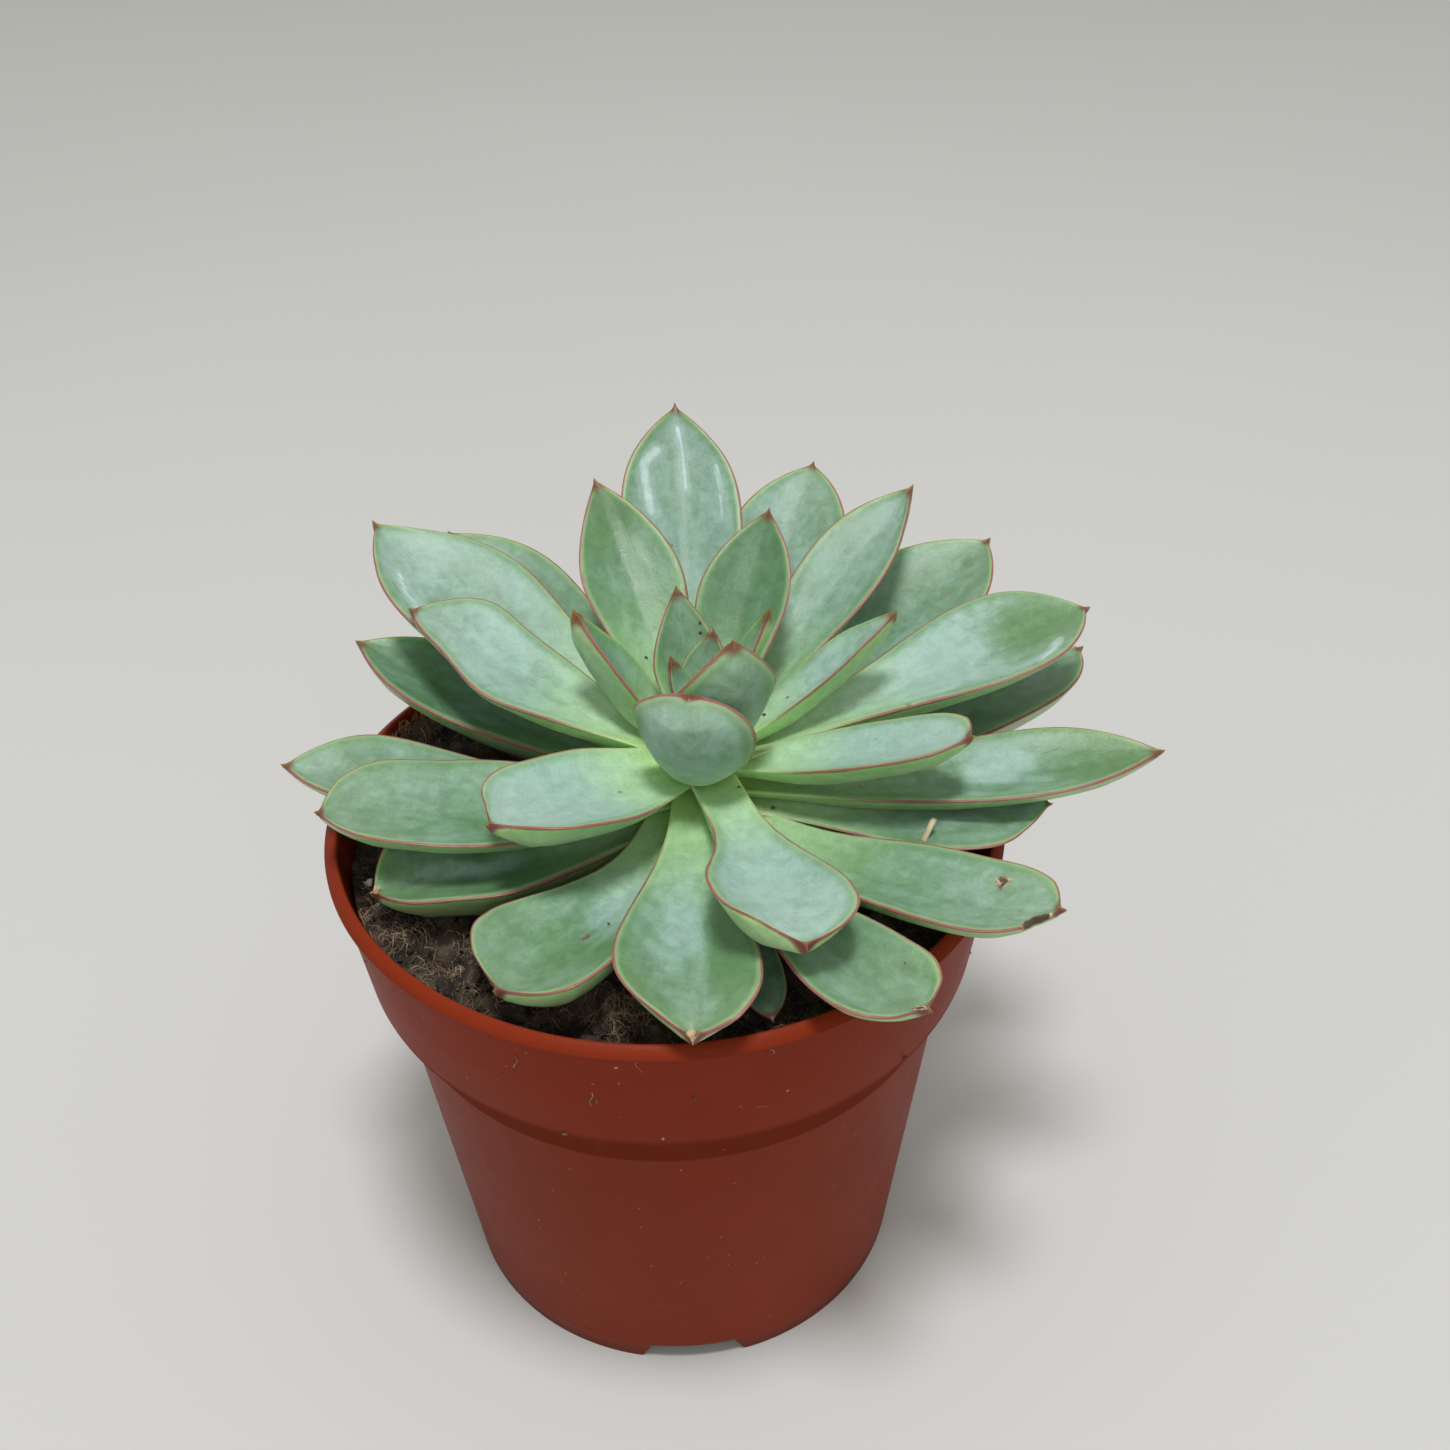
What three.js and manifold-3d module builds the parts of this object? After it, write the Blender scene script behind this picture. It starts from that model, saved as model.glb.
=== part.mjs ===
// A potted echeveria rosette: a plastic nursery pot, the peat it is filled with, the short stem with
// the tiny leaves of its heart, and one solid for every leaf round it.
// Millimetres, +Z up, +X to the viewer's right, -Y towards the viewer. The pieces are shaped about the
// pot's axis, and the whole is moved so that the origin lies under the middle of the spread of leaves,
// on the surface that the pot stands on.

import * as THREE from 'three';
import { mergeVertices } from 'three/addons/utils/BufferGeometryUtils.js';
import Module from 'manifold-3d';

const wasm = await Module();
wasm.setup();

// Pot: a 10.5 cm thin-walled nursery pot
const POT_X = -8.4;
const POT_Y = -1.2;
const RIM_RADIUS = 52.5;
const POT_HEIGHT = 90.6;
const FOOT_RADIUS = 38;
const BODY_TOP_RADIUS = 44.7;
const BODY_TOP_Z = 59.5;
const COLLAR_FOOT_RADIUS = 48.9;
const COLLAR_FOOT_Z = 68.2;
const COLLAR_TOP_RADIUS = 51.5;
const LIP_Z = 88.9;
const LIP_EDGE = 0.5;
const LIP_CREST = 0.3;
const LIP_INNER_RADIUS = 50.7;
const WALL = 1.2;
const FLOOR_Z = 4.6;
const FLOOR_THICKNESS = 1.5;
const FOOT_NOTCHES = 4;
const FIRST_NOTCH_DEGREES = 3.3;
const NOTCH_WIDTH = 17.4;
const NOTCH_ROOF_WIDTH = 14;
const NOTCH_HEIGHT = 3.3;
const NOTCH_DEPTH = 9;
const OVERCUT = 2;
const DRAIN_HOLES = 6;
const DRAIN_RADIUS = 3;
const DRAIN_CIRCLE = 24;
const ROUND_SIDES = 48;
const DRAIN_SIDES = 12;

// Peat
const PEAT_LEVEL = 81.5;
const PEAT_HEAP = 3.2;
const HEAP_SPREAD = 60;
const PEAT_RINGS = [1, 0.86, 0.7, 0.52, 0.3, 0];
const CLEARANCE = 0.3;

// Stem
const STEM_X = 5.5;
const STEM_Y = -2;
const STEM_FOOT_Z = 70;
const STEM_RADIUS = 5;
const STEM_TOP_RADIUS = 2.6;
const STEM_SHOULDER_Z = 97;
const STEM_TOP_Z = 108;
const STEM_CAP = 1.5;
const STEM_SIDES = 16;

// Leaves
const LEAF_ROOT_RADIUS = 3.6;
const HEART_ROOT_RADIUS = 1;
const THICKNESS_PER_WIDTH = 0.29;
const THINNEST = 0.7;
const LEAF_ROOM = 0.4;
const TIP_LENGTH = 0.16;
const HORN_START = 0.9;
const HORN_LENGTH = 0.065;
const HORN_WIDTH = 0.15;
const CLOSED_AT = 0.982;
const NARROWEST = 0.03;
const STATIONS = [0, 0.1, 0.22, 0.35, 0.47, 0.58, 0.68, 0.77, 0.85, 0.91, 0.95, 0.975, 1];
const UPPER_FACE = [-1, -0.5, 0, 0.5, 1];
const UNDER_FACE = [0.6, 0, -0.6];

// Colours
const TERRACOTTA = 0x7a3a22;
const DARK_PEAT = 0x2b1f18;
const BLADE = 0x9fbcab;
const YOUNG_BLADE = 0x8fb39b;
const OLD_BLADE = 0x93ad8a;
const YOUNG_SHARE = 0.2;

// How a blade widens from its neck and closes at its tip: the neck's share of the full width, where
// the widening starts, where the blade is widest, how late it widens, and two powers for the end
const OUTLINES = {
  spoon: { neck: 0.4, start: 0.2, widest: 0.8, late: 1.4, blunt: 3.2, close: 0.75 },
  paddle: { neck: 0.36, start: 0.15, widest: 0.74, late: 1.2, blunt: 2.3, close: 0.82 },
  oblong: { neck: 0.42, start: 0.12, widest: 0.7, late: 1, blunt: 3.4, close: 0.78 },
  strap: { neck: 0.5, start: 0.05, widest: 0.6, late: 0.8, blunt: 3.8, close: 0.75 },
  pointed: { neck: 0.46, start: 0.1, widest: 0.67, late: 1, blunt: 2.3, close: 0.85 },
  young: { neck: 0.52, start: 0.08, widest: 0.6, late: 1, blunt: 2, close: 0.95 },
  bud: { neck: 0.6, start: 0.05, widest: 0.62, late: 0.8, blunt: 2.8, close: 0.66 },
  heart: { neck: 0.68, start: 0.05, widest: 0.45, late: 1, blunt: 1.7, close: 1 },
};

// Tiny leaves that grow on the tip of the stem. az is the compass angle of the leaf seen from above,
// 0 along +X; reach and tipZ place its tip, rootZ its root on the stem; bend curves it upwards,
// sweep sideways; roll turns it about its midrib; cup raises its edges.
const HEART_LEAVES = [
  { az: 127, reach: 6.5, tipZ: 116, rootZ: 107, bend: 10, width: 4, outline: 'heart', cup: 0.3 },
  { az: 74, reach: 9.5, tipZ: 120.5, rootZ: 107, bend: 10, width: 8, outline: 'heart', cup: 0.3 },
  { az: 20, reach: 12, tipZ: 124.5, rootZ: 106, bend: 10, width: 7, outline: 'heart', cup: 0.3 },
  { az: 103, reach: 13, tipZ: 123.5, rootZ: 105, bend: 15, width: 10.5, outline: 'heart', cup: 0.3 },
];

// The leaves proper, from the innermost to the lowest and oldest
const LEAVES = [
  { az: -93, reach: 13.2, tipZ: 121, rootZ: 101.5,
    bend: 65, width: 18.5, outline: 'bud', cup: 0.42, roll: -12, thick: 3.8 },
  { az: -65, reach: 11.5, tipZ: 127, rootZ: 104,
    bend: 50, width: 18.5, outline: 'bud', cup: 0.4, roll: -6, thick: 3.6 },
  { az: 160, reach: 19.5, tipZ: 123.5, rootZ: 102,
    bend: 30, width: 13, outline: 'young', cup: 0.5, roll: 20, thick: 2.2 },
  { az: 15.5, reach: 31, tipZ: 121, rootZ: 101,
    bend: 20, width: 8.4, outline: 'young', cup: 0.6, roll: -28, thick: 2.2 },
  { az: 66, reach: 29, tipZ: 127.5, rootZ: 103,
    bend: 15, width: 15, outline: 'young', cup: 0.3 },
  { az: 114.5, reach: 38, tipZ: 129, rootZ: 102,
    bend: 15, width: 16, outline: 'young', cup: 0.3 },
  { az: -15, reach: 41, tipZ: 112.3, rootZ: 100,
    bend: 10, width: 12.6, outline: 'strap', cup: 0.3, roll: -10, thick: 3.4 },
  { az: -140, reach: 38, tipZ: 108, rootZ: 100.5,
    bend: 0, width: 18, outline: 'strap', cup: 0.3, roll: -12, tipRoll: 8, sweep: -8 },
  { az: -73, reach: 48, tipZ: 104.5, rootZ: 100,
    bend: 0, width: 20, outline: 'spoon', cup: 0.3, roll: -6, sweep: -14, thick: 6.3 },
  { az: 158, reach: 48, tipZ: 117, rootZ: 102,
    bend: 4, width: 19, outline: 'pointed', cup: 0.18, sweep: 12 },
  { az: 48.8, reach: 53.6, tipZ: 124.2, rootZ: 100,
    bend: 20, width: 15, outline: 'pointed', cup: 0.3, sweep: -12 },
  { az: 93.4, reach: 56, tipZ: 131.5, rootZ: 99,
    bend: 25, width: 20.6, outline: 'pointed', cup: 0.3 },
  { az: 143, reach: 66, tipZ: 119, rootZ: 98,
    bend: 15, width: 24, outline: 'pointed', cup: 0.3, sweep: -5 },
  { az: 17, reach: 64, tipZ: 114.3, rootZ: 100,
    bend: -2, width: 21.4, outline: 'pointed', cup: 0.2, thick: 4.6 },
  { az: 130.5, reach: 66, tipZ: 112, rootZ: 96,
    bend: 10, width: 20.5, outline: 'pointed', cup: 0.3, sweep: -3 },
  { az: 71, reach: 62, tipZ: 119, rootZ: 97,
    bend: 20, width: 21, outline: 'pointed', cup: 0.3 },
  { az: 41, reach: 65, tipZ: 113, rootZ: 97,
    bend: 20, width: 23, outline: 'pointed', cup: 0.3 },
  { az: -4, reach: 69, tipZ: 104, rootZ: 95,
    bend: 10, width: 15.2, outline: 'pointed', cup: 0.3, sweep: 10 },
  { az: 22.5, reach: 68.5, tipZ: 102, rootZ: 94,
    bend: 20, width: 19, outline: 'oblong', cup: 0.3, sweep: 15 },
  { az: 155, reach: 61, tipZ: 106, rootZ: 95,
    bend: 20, width: 18, outline: 'pointed', cup: 0.3 },
  { az: -168, reach: 57, tipZ: 101, rootZ: 95,
    bend: 5, width: 20.8, outline: 'strap', cup: 0.25, sweep: -22, thick: 5.4 },
  { az: 179, reach: 63, tipZ: 100, rootZ: 93,
    bend: 5, width: 17.5, outline: 'paddle', cup: 0.25, sweep: -12 },
  { az: -124, reach: 50, tipZ: 93.5, rootZ: 96,
    bend: 0, width: 23.2, outline: 'spoon', cup: 0.3, roll: 8, sweep: -40, thick: 7.4 },
  { az: -91, reach: 52.6, tipZ: 95, rootZ: 96,
    bend: 0, width: 20.5, outline: 'paddle', cup: 0.25 },
  { az: -58.7, reach: 58, tipZ: 96.5, rootZ: 95,
    bend: 0, width: 19.2, outline: 'spoon', cup: 0.25, sweep: 32, thick: 4.4 },
  { az: -33.8, reach: 60.5, tipZ: 99, rootZ: 93,
    bend: 5, width: 16, outline: 'strap', cup: 0.25, sweep: 34, thick: 4 },
  { az: -158, reach: 52, tipZ: 92, rootZ: 91,
    bend: 0, width: 19, outline: 'oblong', cup: 0.35, sweep: -20, thick: 6 },
  { az: -9, reach: 52.2, tipZ: 94.8, rootZ: 94,
    bend: 0, width: 18.5, outline: 'oblong', cup: 0.25, sweep: 14, thick: 4.4 },
  { az: 112, reach: 52, tipZ: 99, rootZ: 93,
    bend: 8, width: 18, outline: 'pointed', cup: 0.25 },
  { az: 82, reach: 55, tipZ: 98, rootZ: 93,
    bend: 8, width: 18, outline: 'pointed', cup: 0.25 },
  { az: 52, reach: 55, tipZ: 97, rootZ: 92,
    bend: 8, width: 18, outline: 'pointed', cup: 0.25 },
  { az: -75, reach: 45.5, tipZ: 86, rootZ: 90,
    bend: 0, width: 9.5, outline: 'oblong', cup: 0.2, thick: 2.6 },
];

const radians = THREE.MathUtils.degToRad;
const clamp = THREE.MathUtils.clamp;

// A closed mesh becomes a solid for cutting, and a solid becomes a mesh again
function solidOf(geometry) {
  const bare = geometry.clone();
  bare.deleteAttribute('normal');
  bare.deleteAttribute('uv');
  const welded = mergeVertices(bare, 1e-4);
  return new wasm.Manifold(new wasm.Mesh({
    numProp: 3,
    vertProperties: new Float32Array(welded.attributes.position.array),
    triVerts: new Uint32Array(welded.index.array),
  }));
}

function meshOf(name, solid, color, roughness) {
  const data = solid.getMesh();
  const geometry = new THREE.BufferGeometry();
  geometry.setAttribute('position', new THREE.BufferAttribute(new Float32Array(data.vertProperties), 3));
  geometry.setIndex(new THREE.BufferAttribute(new Uint32Array(data.triVerts), 1));
  geometry.computeVertexNormals();
  const mesh = new THREE.Mesh(geometry, new THREE.MeshStandardMaterial({ color, roughness, metalness: 0 }));
  mesh.name = name;
  return mesh;
}

// The largest of the bodies that a cut leaves
function largestBody(solid) {
  const bodies = solid.decompose();
  return bodies.reduce((best, body) => (body.volume() > best.volume() ? body : best));
}

function turned(profile, sides = ROUND_SIDES) {
  const points = profile.map(([radius, z]) => new THREE.Vector2(radius, z));
  const geometry = new THREE.LatheGeometry(points, sides);
  geometry.rotateX(Math.PI / 2);
  return geometry;
}

function wallRadius(z) {
  const bodyShare = z / BODY_TOP_Z;
  const stepShare = (z - BODY_TOP_Z) / (COLLAR_FOOT_Z - BODY_TOP_Z);
  const collarShare = (z - COLLAR_FOOT_Z) / (LIP_Z - COLLAR_FOOT_Z);
  if (z <= BODY_TOP_Z) return FOOT_RADIUS + (BODY_TOP_RADIUS - FOOT_RADIUS) * bodyShare;
  if (z <= COLLAR_FOOT_Z) return BODY_TOP_RADIUS + (COLLAR_FOOT_RADIUS - BODY_TOP_RADIUS) * stepShare;
  return COLLAR_FOOT_RADIUS + (COLLAR_TOP_RADIUS - COLLAR_FOOT_RADIUS) * collarShare;
}

// The pot's wall with its rolled lip, stepped collar and raised floor, turned in one piece
function potShell() {
  const inside = (z) => wallRadius(z) - WALL;
  const ceiling = FLOOR_Z + FLOOR_THICKNESS;
  return solidOf(turned([
    [0, FLOOR_Z],
    [inside(FLOOR_Z), FLOOR_Z],
    [inside(0), 0],
    [FOOT_RADIUS, 0],
    [BODY_TOP_RADIUS, BODY_TOP_Z],
    [COLLAR_FOOT_RADIUS, COLLAR_FOOT_Z],
    [COLLAR_TOP_RADIUS, LIP_Z],
    [RIM_RADIUS, LIP_Z],
    [RIM_RADIUS, LIP_Z + LIP_EDGE],
    [LIP_INNER_RADIUS + LIP_CREST, POT_HEIGHT],
    [LIP_INNER_RADIUS, POT_HEIGHT],
    [inside(LIP_Z), LIP_Z],
    [inside(COLLAR_FOOT_Z), COLLAR_FOOT_Z],
    [inside(BODY_TOP_Z), BODY_TOP_Z],
    [inside(ceiling), ceiling],
    [0, ceiling],
  ]));
}

// One shallow gap with sloping ends under the foot, on the side given by its angle
function footNotch(angle) {
  const outline = new THREE.Shape();
  outline.moveTo(-NOTCH_WIDTH / 2, 0);
  outline.lineTo(-NOTCH_ROOF_WIDTH / 2, NOTCH_HEIGHT);
  outline.lineTo(NOTCH_ROOF_WIDTH / 2, NOTCH_HEIGHT);
  outline.lineTo(NOTCH_WIDTH / 2, 0);
  outline.lineTo(NOTCH_WIDTH / 2, -OVERCUT);
  outline.lineTo(-NOTCH_WIDTH / 2, -OVERCUT);
  outline.closePath();
  const block = new THREE.ExtrudeGeometry(outline, { depth: NOTCH_DEPTH, bevelEnabled: false });
  block.rotateX(Math.PI / 2);
  block.translate(0, -FOOT_RADIUS + NOTCH_DEPTH - OVERCUT, 0);
  block.rotateZ(angle);
  return solidOf(block);
}

function drainHole(angle) {
  const length = FLOOR_THICKNESS + 2 * OVERCUT;
  const plug = new THREE.CylinderGeometry(DRAIN_RADIUS, DRAIN_RADIUS, length, DRAIN_SIDES);
  plug.rotateX(Math.PI / 2);
  plug.translate(DRAIN_CIRCLE, 0, FLOOR_Z + FLOOR_THICKNESS / 2);
  plug.rotateZ(angle);
  return solidOf(plug);
}

function makePot() {
  let pot = potShell();
  for (let i = 0; i < FOOT_NOTCHES; i += 1) {
    pot = pot.subtract(footNotch(radians(FIRST_NOTCH_DEGREES + (360 * i) / FOOT_NOTCHES)));
  }
  for (let i = 0; i < DRAIN_HOLES; i += 1) {
    pot = pot.subtract(drainHole(radians((360 * (i + 0.5)) / DRAIN_HOLES)));
  }
  return pot;
}

// Peat: level in the middle, heaped against the wall at the front left, and lumpy all over
function peatHeight(x, y) {
  const front = clamp((-x - 1.4 * y) / HEAP_SPREAD, 0, 1);
  const lumps = 0.7 * Math.sin(x * 0.33 + 1) * Math.cos(y * 0.29) + 0.5 * Math.sin(x * 0.71 - y * 0.63);
  return PEAT_LEVEL + PEAT_HEAP * front * front + lumps;
}

function makePeat() {
  const side = (z) => wallRadius(z) - WALL - CLEARANCE;
  const bottom = FLOOR_Z + FLOOR_THICKNESS + CLEARANCE;
  const rimOfPeat = side(PEAT_LEVEL);
  const peat = turned([
    [0, bottom],
    [side(bottom), bottom],
    [side(BODY_TOP_Z), BODY_TOP_Z],
    [side(COLLAR_FOOT_Z), COLLAR_FOOT_Z],
    ...PEAT_RINGS.map((share) => [rimOfPeat * share, PEAT_LEVEL]),
  ]);
  const position = peat.attributes.position;
  for (let i = 0; i < position.count; i += 1) {
    if (position.getZ(i) > COLLAR_FOOT_Z + 1) {
      position.setZ(i, peatHeight(position.getX(i), position.getY(i)));
    }
  }
  const hole = turned([
    [0, STEM_FOOT_Z - CLEARANCE],
    [STEM_RADIUS + CLEARANCE, STEM_FOOT_Z - CLEARANCE],
    [STEM_RADIUS + CLEARANCE, POT_HEIGHT],
    [0, POT_HEIGHT],
  ], STEM_SIDES);
  hole.translate(STEM_X, STEM_Y, 0);
  return solidOf(peat).subtract(solidOf(hole));
}

function stemSolid(grow = 0) {
  const stem = turned([
    [0, STEM_FOOT_Z],
    [STEM_RADIUS + grow, STEM_FOOT_Z],
    [STEM_RADIUS + grow, STEM_SHOULDER_Z],
    [STEM_TOP_RADIUS + grow, STEM_TOP_Z],
    [0, STEM_TOP_Z + STEM_CAP],
  ], STEM_SIDES);
  stem.translate(STEM_X, STEM_Y, 0);
  return solidOf(stem);
}

// Half of the blade's width at t, as a share of its widest, with a short horn at the very tip
function widthShare(outline, t) {
  const { neck, start, widest, late, blunt, close } = OUTLINES[outline];
  const growth = clamp((t - start) / (widest - start), 0, 1) ** late;
  const widening = neck + (1 - neck) * growth * growth * (3 - 2 * growth);
  const closing = (1 - clamp((t - widest) / (CLOSED_AT - widest), 0, 1) ** blunt) ** close;
  const horn = t > HORN_START ? HORN_WIDTH * clamp((1 - t) / HORN_LENGTH, 0, 1) : 0;
  return Math.max(t < widest ? widening : closing, horn, NARROWEST);
}

// The blade's depth at t, as a share of its thickest: flat at the root, full in the middle, thin at the tip
function thicknessShare(t) {
  const root = clamp(0.5 + 1.6 * t, 0, 1);
  const middle = 0.72 + 0.33 * Math.sin(Math.PI * t ** 0.9);
  return root * middle * clamp((1 - t) / TIP_LENGTH, 0, 1) ** 0.6;
}

// The midrib: a curve that turns evenly upwards and sideways, laid from the root to the tip
function midrib(leaf) {
  const rootRadius = HEART_LEAVES.includes(leaf) ? HEART_ROOT_RADIUS : LEAF_ROOT_RADIUS;
  const directions = STATIONS.map((t) => {
    const pitch = radians(leaf.bend) * (t - 0.5);
    const yaw = radians(leaf.sweep ?? 0) * (t - 0.5);
    const level = Math.cos(pitch);
    return new THREE.Vector3(level * Math.cos(yaw), level * Math.sin(yaw), Math.sin(pitch));
  });
  const points = [new THREE.Vector3()];
  for (let i = 1; i < STATIONS.length; i += 1) {
    const mean = directions[i - 1].clone().lerp(directions[i], 0.5);
    points.push(points[i - 1].clone().addScaledVector(mean, STATIONS[i] - STATIONS[i - 1]));
  }
  const end = points[points.length - 1];
  const out = leaf.reach - rootRadius;
  const rise = leaf.tipZ - leaf.rootZ;
  const scale = Math.hypot(out, rise) / end.length();
  const azimuth = radians(leaf.az);
  const lift = Math.atan2(rise, out) - Math.atan2(end.z, Math.hypot(end.x, end.y));
  const turn = new THREE.Matrix4()
    .makeRotationZ(azimuth)
    .multiply(new THREE.Matrix4().makeRotationY(-lift))
    .multiply(new THREE.Matrix4().makeRotationZ(-Math.atan2(end.y, end.x)));
  const root = new THREE.Vector3(
    STEM_X + rootRadius * Math.cos(azimuth),
    STEM_Y + rootRadius * Math.sin(azimuth),
    leaf.rootZ,
  );
  return {
    points: points.map((point) => point.multiplyScalar(scale).applyMatrix4(turn).add(root)),
    directions: directions.map((direction) => direction.applyMatrix4(turn).normalize()),
    up: new THREE.Vector3(0, 0, 1).applyMatrix4(turn),
  };
}

// A fleshy leaf: sections across the midrib, hollow above and bulging below, closed at both ends.
// grow makes it thicker all round, for the room that its neighbours leave it.
function leafSolid(leaf, grow = 0) {
  const { points, directions, up } = midrib(leaf);
  const thick = leaf.thick ?? THICKNESS_PER_WIDTH * leaf.width;
  const sections = UPPER_FACE.length + UNDER_FACE.length;
  const vertices = [];
  STATIONS.forEach((t, i) => {
    const along = directions[i];
    const side = up.clone().cross(along).normalize();
    const normal = along.clone().cross(side);
    const turn = radians((leaf.roll ?? 0) + ((leaf.tipRoll ?? leaf.roll ?? 0) - (leaf.roll ?? 0)) * t);
    const across = side.clone().multiplyScalar(Math.cos(turn)).addScaledVector(normal, Math.sin(turn));
    const above = normal.clone().multiplyScalar(Math.cos(turn)).addScaledVector(side, -Math.sin(turn));
    const half = (leaf.width / 2) * widthShare(leaf.outline, t);
    const depth = Math.max(thick * thicknessShare(t), THINNEST);
    const end = i === 0 ? -grow : i === STATIONS.length - 1 ? grow : 0;
    const place = (s, drop) => points[i].clone()
      .addScaledVector(along, end)
      .addScaledVector(across, -s * (half + grow))
      .addScaledVector(above, leaf.cup * half * s * s + drop);
    for (const s of UPPER_FACE) vertices.push(place(s, Math.abs(s) < 1 ? grow : 2 * leaf.cup * grow));
    for (const s of UNDER_FACE) vertices.push(place(s, -depth * (1 - Math.abs(s) ** 2.6) - grow));
  });
  const index = [];
  for (let i = 0; i < STATIONS.length - 1; i += 1) {
    for (let j = 0; j < sections; j += 1) {
      const a = i * sections + j;
      const b = i * sections + ((j + 1) % sections);
      index.push(a, b, a + sections);
      index.push(b, b + sections, a + sections);
    }
  }
  const last = (STATIONS.length - 1) * sections;
  for (let j = 1; j < sections - 1; j += 1) {
    index.push(0, j + 1, j);
    index.push(last, last + j, last + j + 1);
  }
  const geometry = new THREE.BufferGeometry().setFromPoints(vertices);
  geometry.setIndex(index);
  return solidOf(geometry);
}

function stemWithHeart(grow = 0) {
  return HEART_LEAVES.reduce((body, leaf) => body.add(leafSolid(leaf, grow)), stemSolid(grow));
}

// Every leaf gives way at its root to the stem and to the younger leaves above it
function makeLeaves() {
  const placed = [stemWithHeart(CLEARANCE)];
  return LEAVES.map((leaf) => {
    const whole = leafSolid(leaf);
    const cut = placed.reduce((body, room) => body.subtract(room), whole);
    placed.push(leafSolid(leaf, LEAF_ROOM));
    return largestBody(cut);
  });
}

const plant = new THREE.Group();
plant.add(meshOf('stem_with_heart', stemWithHeart(), YOUNG_BLADE, 0.6));
makeLeaves().forEach((solid, i) => {
  const name = `leaf_${String(i + 1).padStart(2, '0')}`;
  const age = i / LEAVES.length;
  const fresh = new THREE.Color(age < YOUNG_SHARE ? YOUNG_BLADE : BLADE);
  plant.add(meshOf(name, solid, fresh.lerp(new THREE.Color(OLD_BLADE), age * age), 0.55));
});

const group = new THREE.Group();
group.position.set(POT_X, POT_Y, 0);
group.add(meshOf('pot', makePot(), TERRACOTTA, 0.5));
group.add(meshOf('peat', makePeat(), DARK_PEAT, 1));
group.add(plant);

export default group;
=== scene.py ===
import math
import random

import bmesh
import bpy
from mathutils import Matrix, Vector, noise


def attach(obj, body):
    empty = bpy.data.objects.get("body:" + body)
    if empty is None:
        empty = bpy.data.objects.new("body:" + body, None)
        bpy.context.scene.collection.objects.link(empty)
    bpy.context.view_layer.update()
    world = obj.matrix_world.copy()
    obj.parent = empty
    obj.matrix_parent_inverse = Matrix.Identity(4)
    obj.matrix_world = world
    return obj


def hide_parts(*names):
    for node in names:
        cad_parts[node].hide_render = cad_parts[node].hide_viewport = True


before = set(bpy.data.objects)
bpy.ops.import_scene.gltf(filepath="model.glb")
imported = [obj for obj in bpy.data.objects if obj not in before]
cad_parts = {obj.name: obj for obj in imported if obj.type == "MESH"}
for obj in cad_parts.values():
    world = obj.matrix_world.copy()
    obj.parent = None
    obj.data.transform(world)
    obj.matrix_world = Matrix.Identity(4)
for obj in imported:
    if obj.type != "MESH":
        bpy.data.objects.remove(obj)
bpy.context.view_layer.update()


# The pot: a thin-walled nursery pot, injection moulded in terracotta-coloured plastic in one shot. It has a
# thin flared lip, a wide collar with a slanted step under it, a tapering body and a foot ring with notches.
# Lengths are in millimetres about the pot's own axis, and points of its outline are (radius, height).
POT_AXIS = Vector((-8.4, -1.2, 0.0))
MILLIMETRES = Matrix.Scale(0.001, 4)
RIM_RADIUS = 52.5
POT_HEIGHT = 90.6
FOOT_RADIUS = 38.0
FOOT_RING_TOP = 3.9
FOOT_RING_BLEND = 5.0
BODY_MIDDLE = 30.0
BODY_TOP = (44.7, 59.5)
COLLAR_FOOT = (48.9, 68.2)
COLLAR_MIDDLE = (50.2, 78.5)
COLLAR_SHOULDER = (51.35, 87.7)
COLLAR_TOP = (51.5, 88.9)
LIP = ((52.2, 88.75), (RIM_RADIUS, 88.95), (RIM_RADIUS, 89.4),
       (51.0, 90.55), (50.7, POT_HEIGHT), (50.45, 90.2))
LIP_UNDERSIDE = 88.6
WALL = 1.2
STEP_ROUNDING = 0.9
POT_SIDES = 288
OUT_OF_ROUND = 0.0024

DRAIN_HOLES = 6
DRAIN_CIRCLE = 24.0
DRAIN_RADIUS = 3.0
DRAIN_HALF_DEGREES = 7.5
FLOOR_Z = 4.6
FLOOR_THICKNESS = 1.5
FLOOR_RADII = (0, 12, DRAIN_CIRCLE - DRAIN_RADIUS, DRAIN_CIRCLE + DRAIN_RADIUS)

NOTCH_HEIGHT = 3.3
NOTCH_HALF_WIDTH = 8.7
NOTCH_ROOF_HALF_WIDTH = 7.0
NOTCH_SPACING_DEGREES = 90
FIRST_NOTCH_DEGREES = 3.3


def clamp(value, low=0.0, high=1.0):
    return min(max(value, low), high)


def to_piece(bm, name, slot, stands_for=()):
    """Turns a bmesh shaped in millimetres about the pot's axis into a piece that rides on the part."""
    bmesh.ops.transform(bm, matrix=MILLIMETRES @ Matrix.Translation(POT_AXIS), verts=bm.verts)
    mesh = bpy.data.meshes.new(name)
    bm.to_mesh(mesh)
    bm.free()
    mesh.shade_smooth()
    piece = bpy.data.objects.new(name, mesh)
    bpy.context.scene.collection.objects.link(piece)
    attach(piece, "root")
    if stands_for:
        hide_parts(*stands_for)
    return piece


def spun(profile, steps):
    """A closed body of revolution from its half outline, given as radius and height."""
    bm = bmesh.new()
    points = [bm.verts.new((radius, 0, z)) for radius, z in profile]
    for a, b in zip(points, points[1:]):
        bm.edges.new((a, b))
    bmesh.ops.spin(bm, geom=bm.verts[:] + bm.edges[:], cent=(0, 0, 0), axis=(0, 0, 1), angle=math.tau,
                   steps=steps, use_merge=True)
    bmesh.ops.remove_doubles(bm, verts=bm.verts, dist=0.001)
    bmesh.ops.recalc_face_normals(bm, faces=bm.faces)
    return bm


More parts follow.
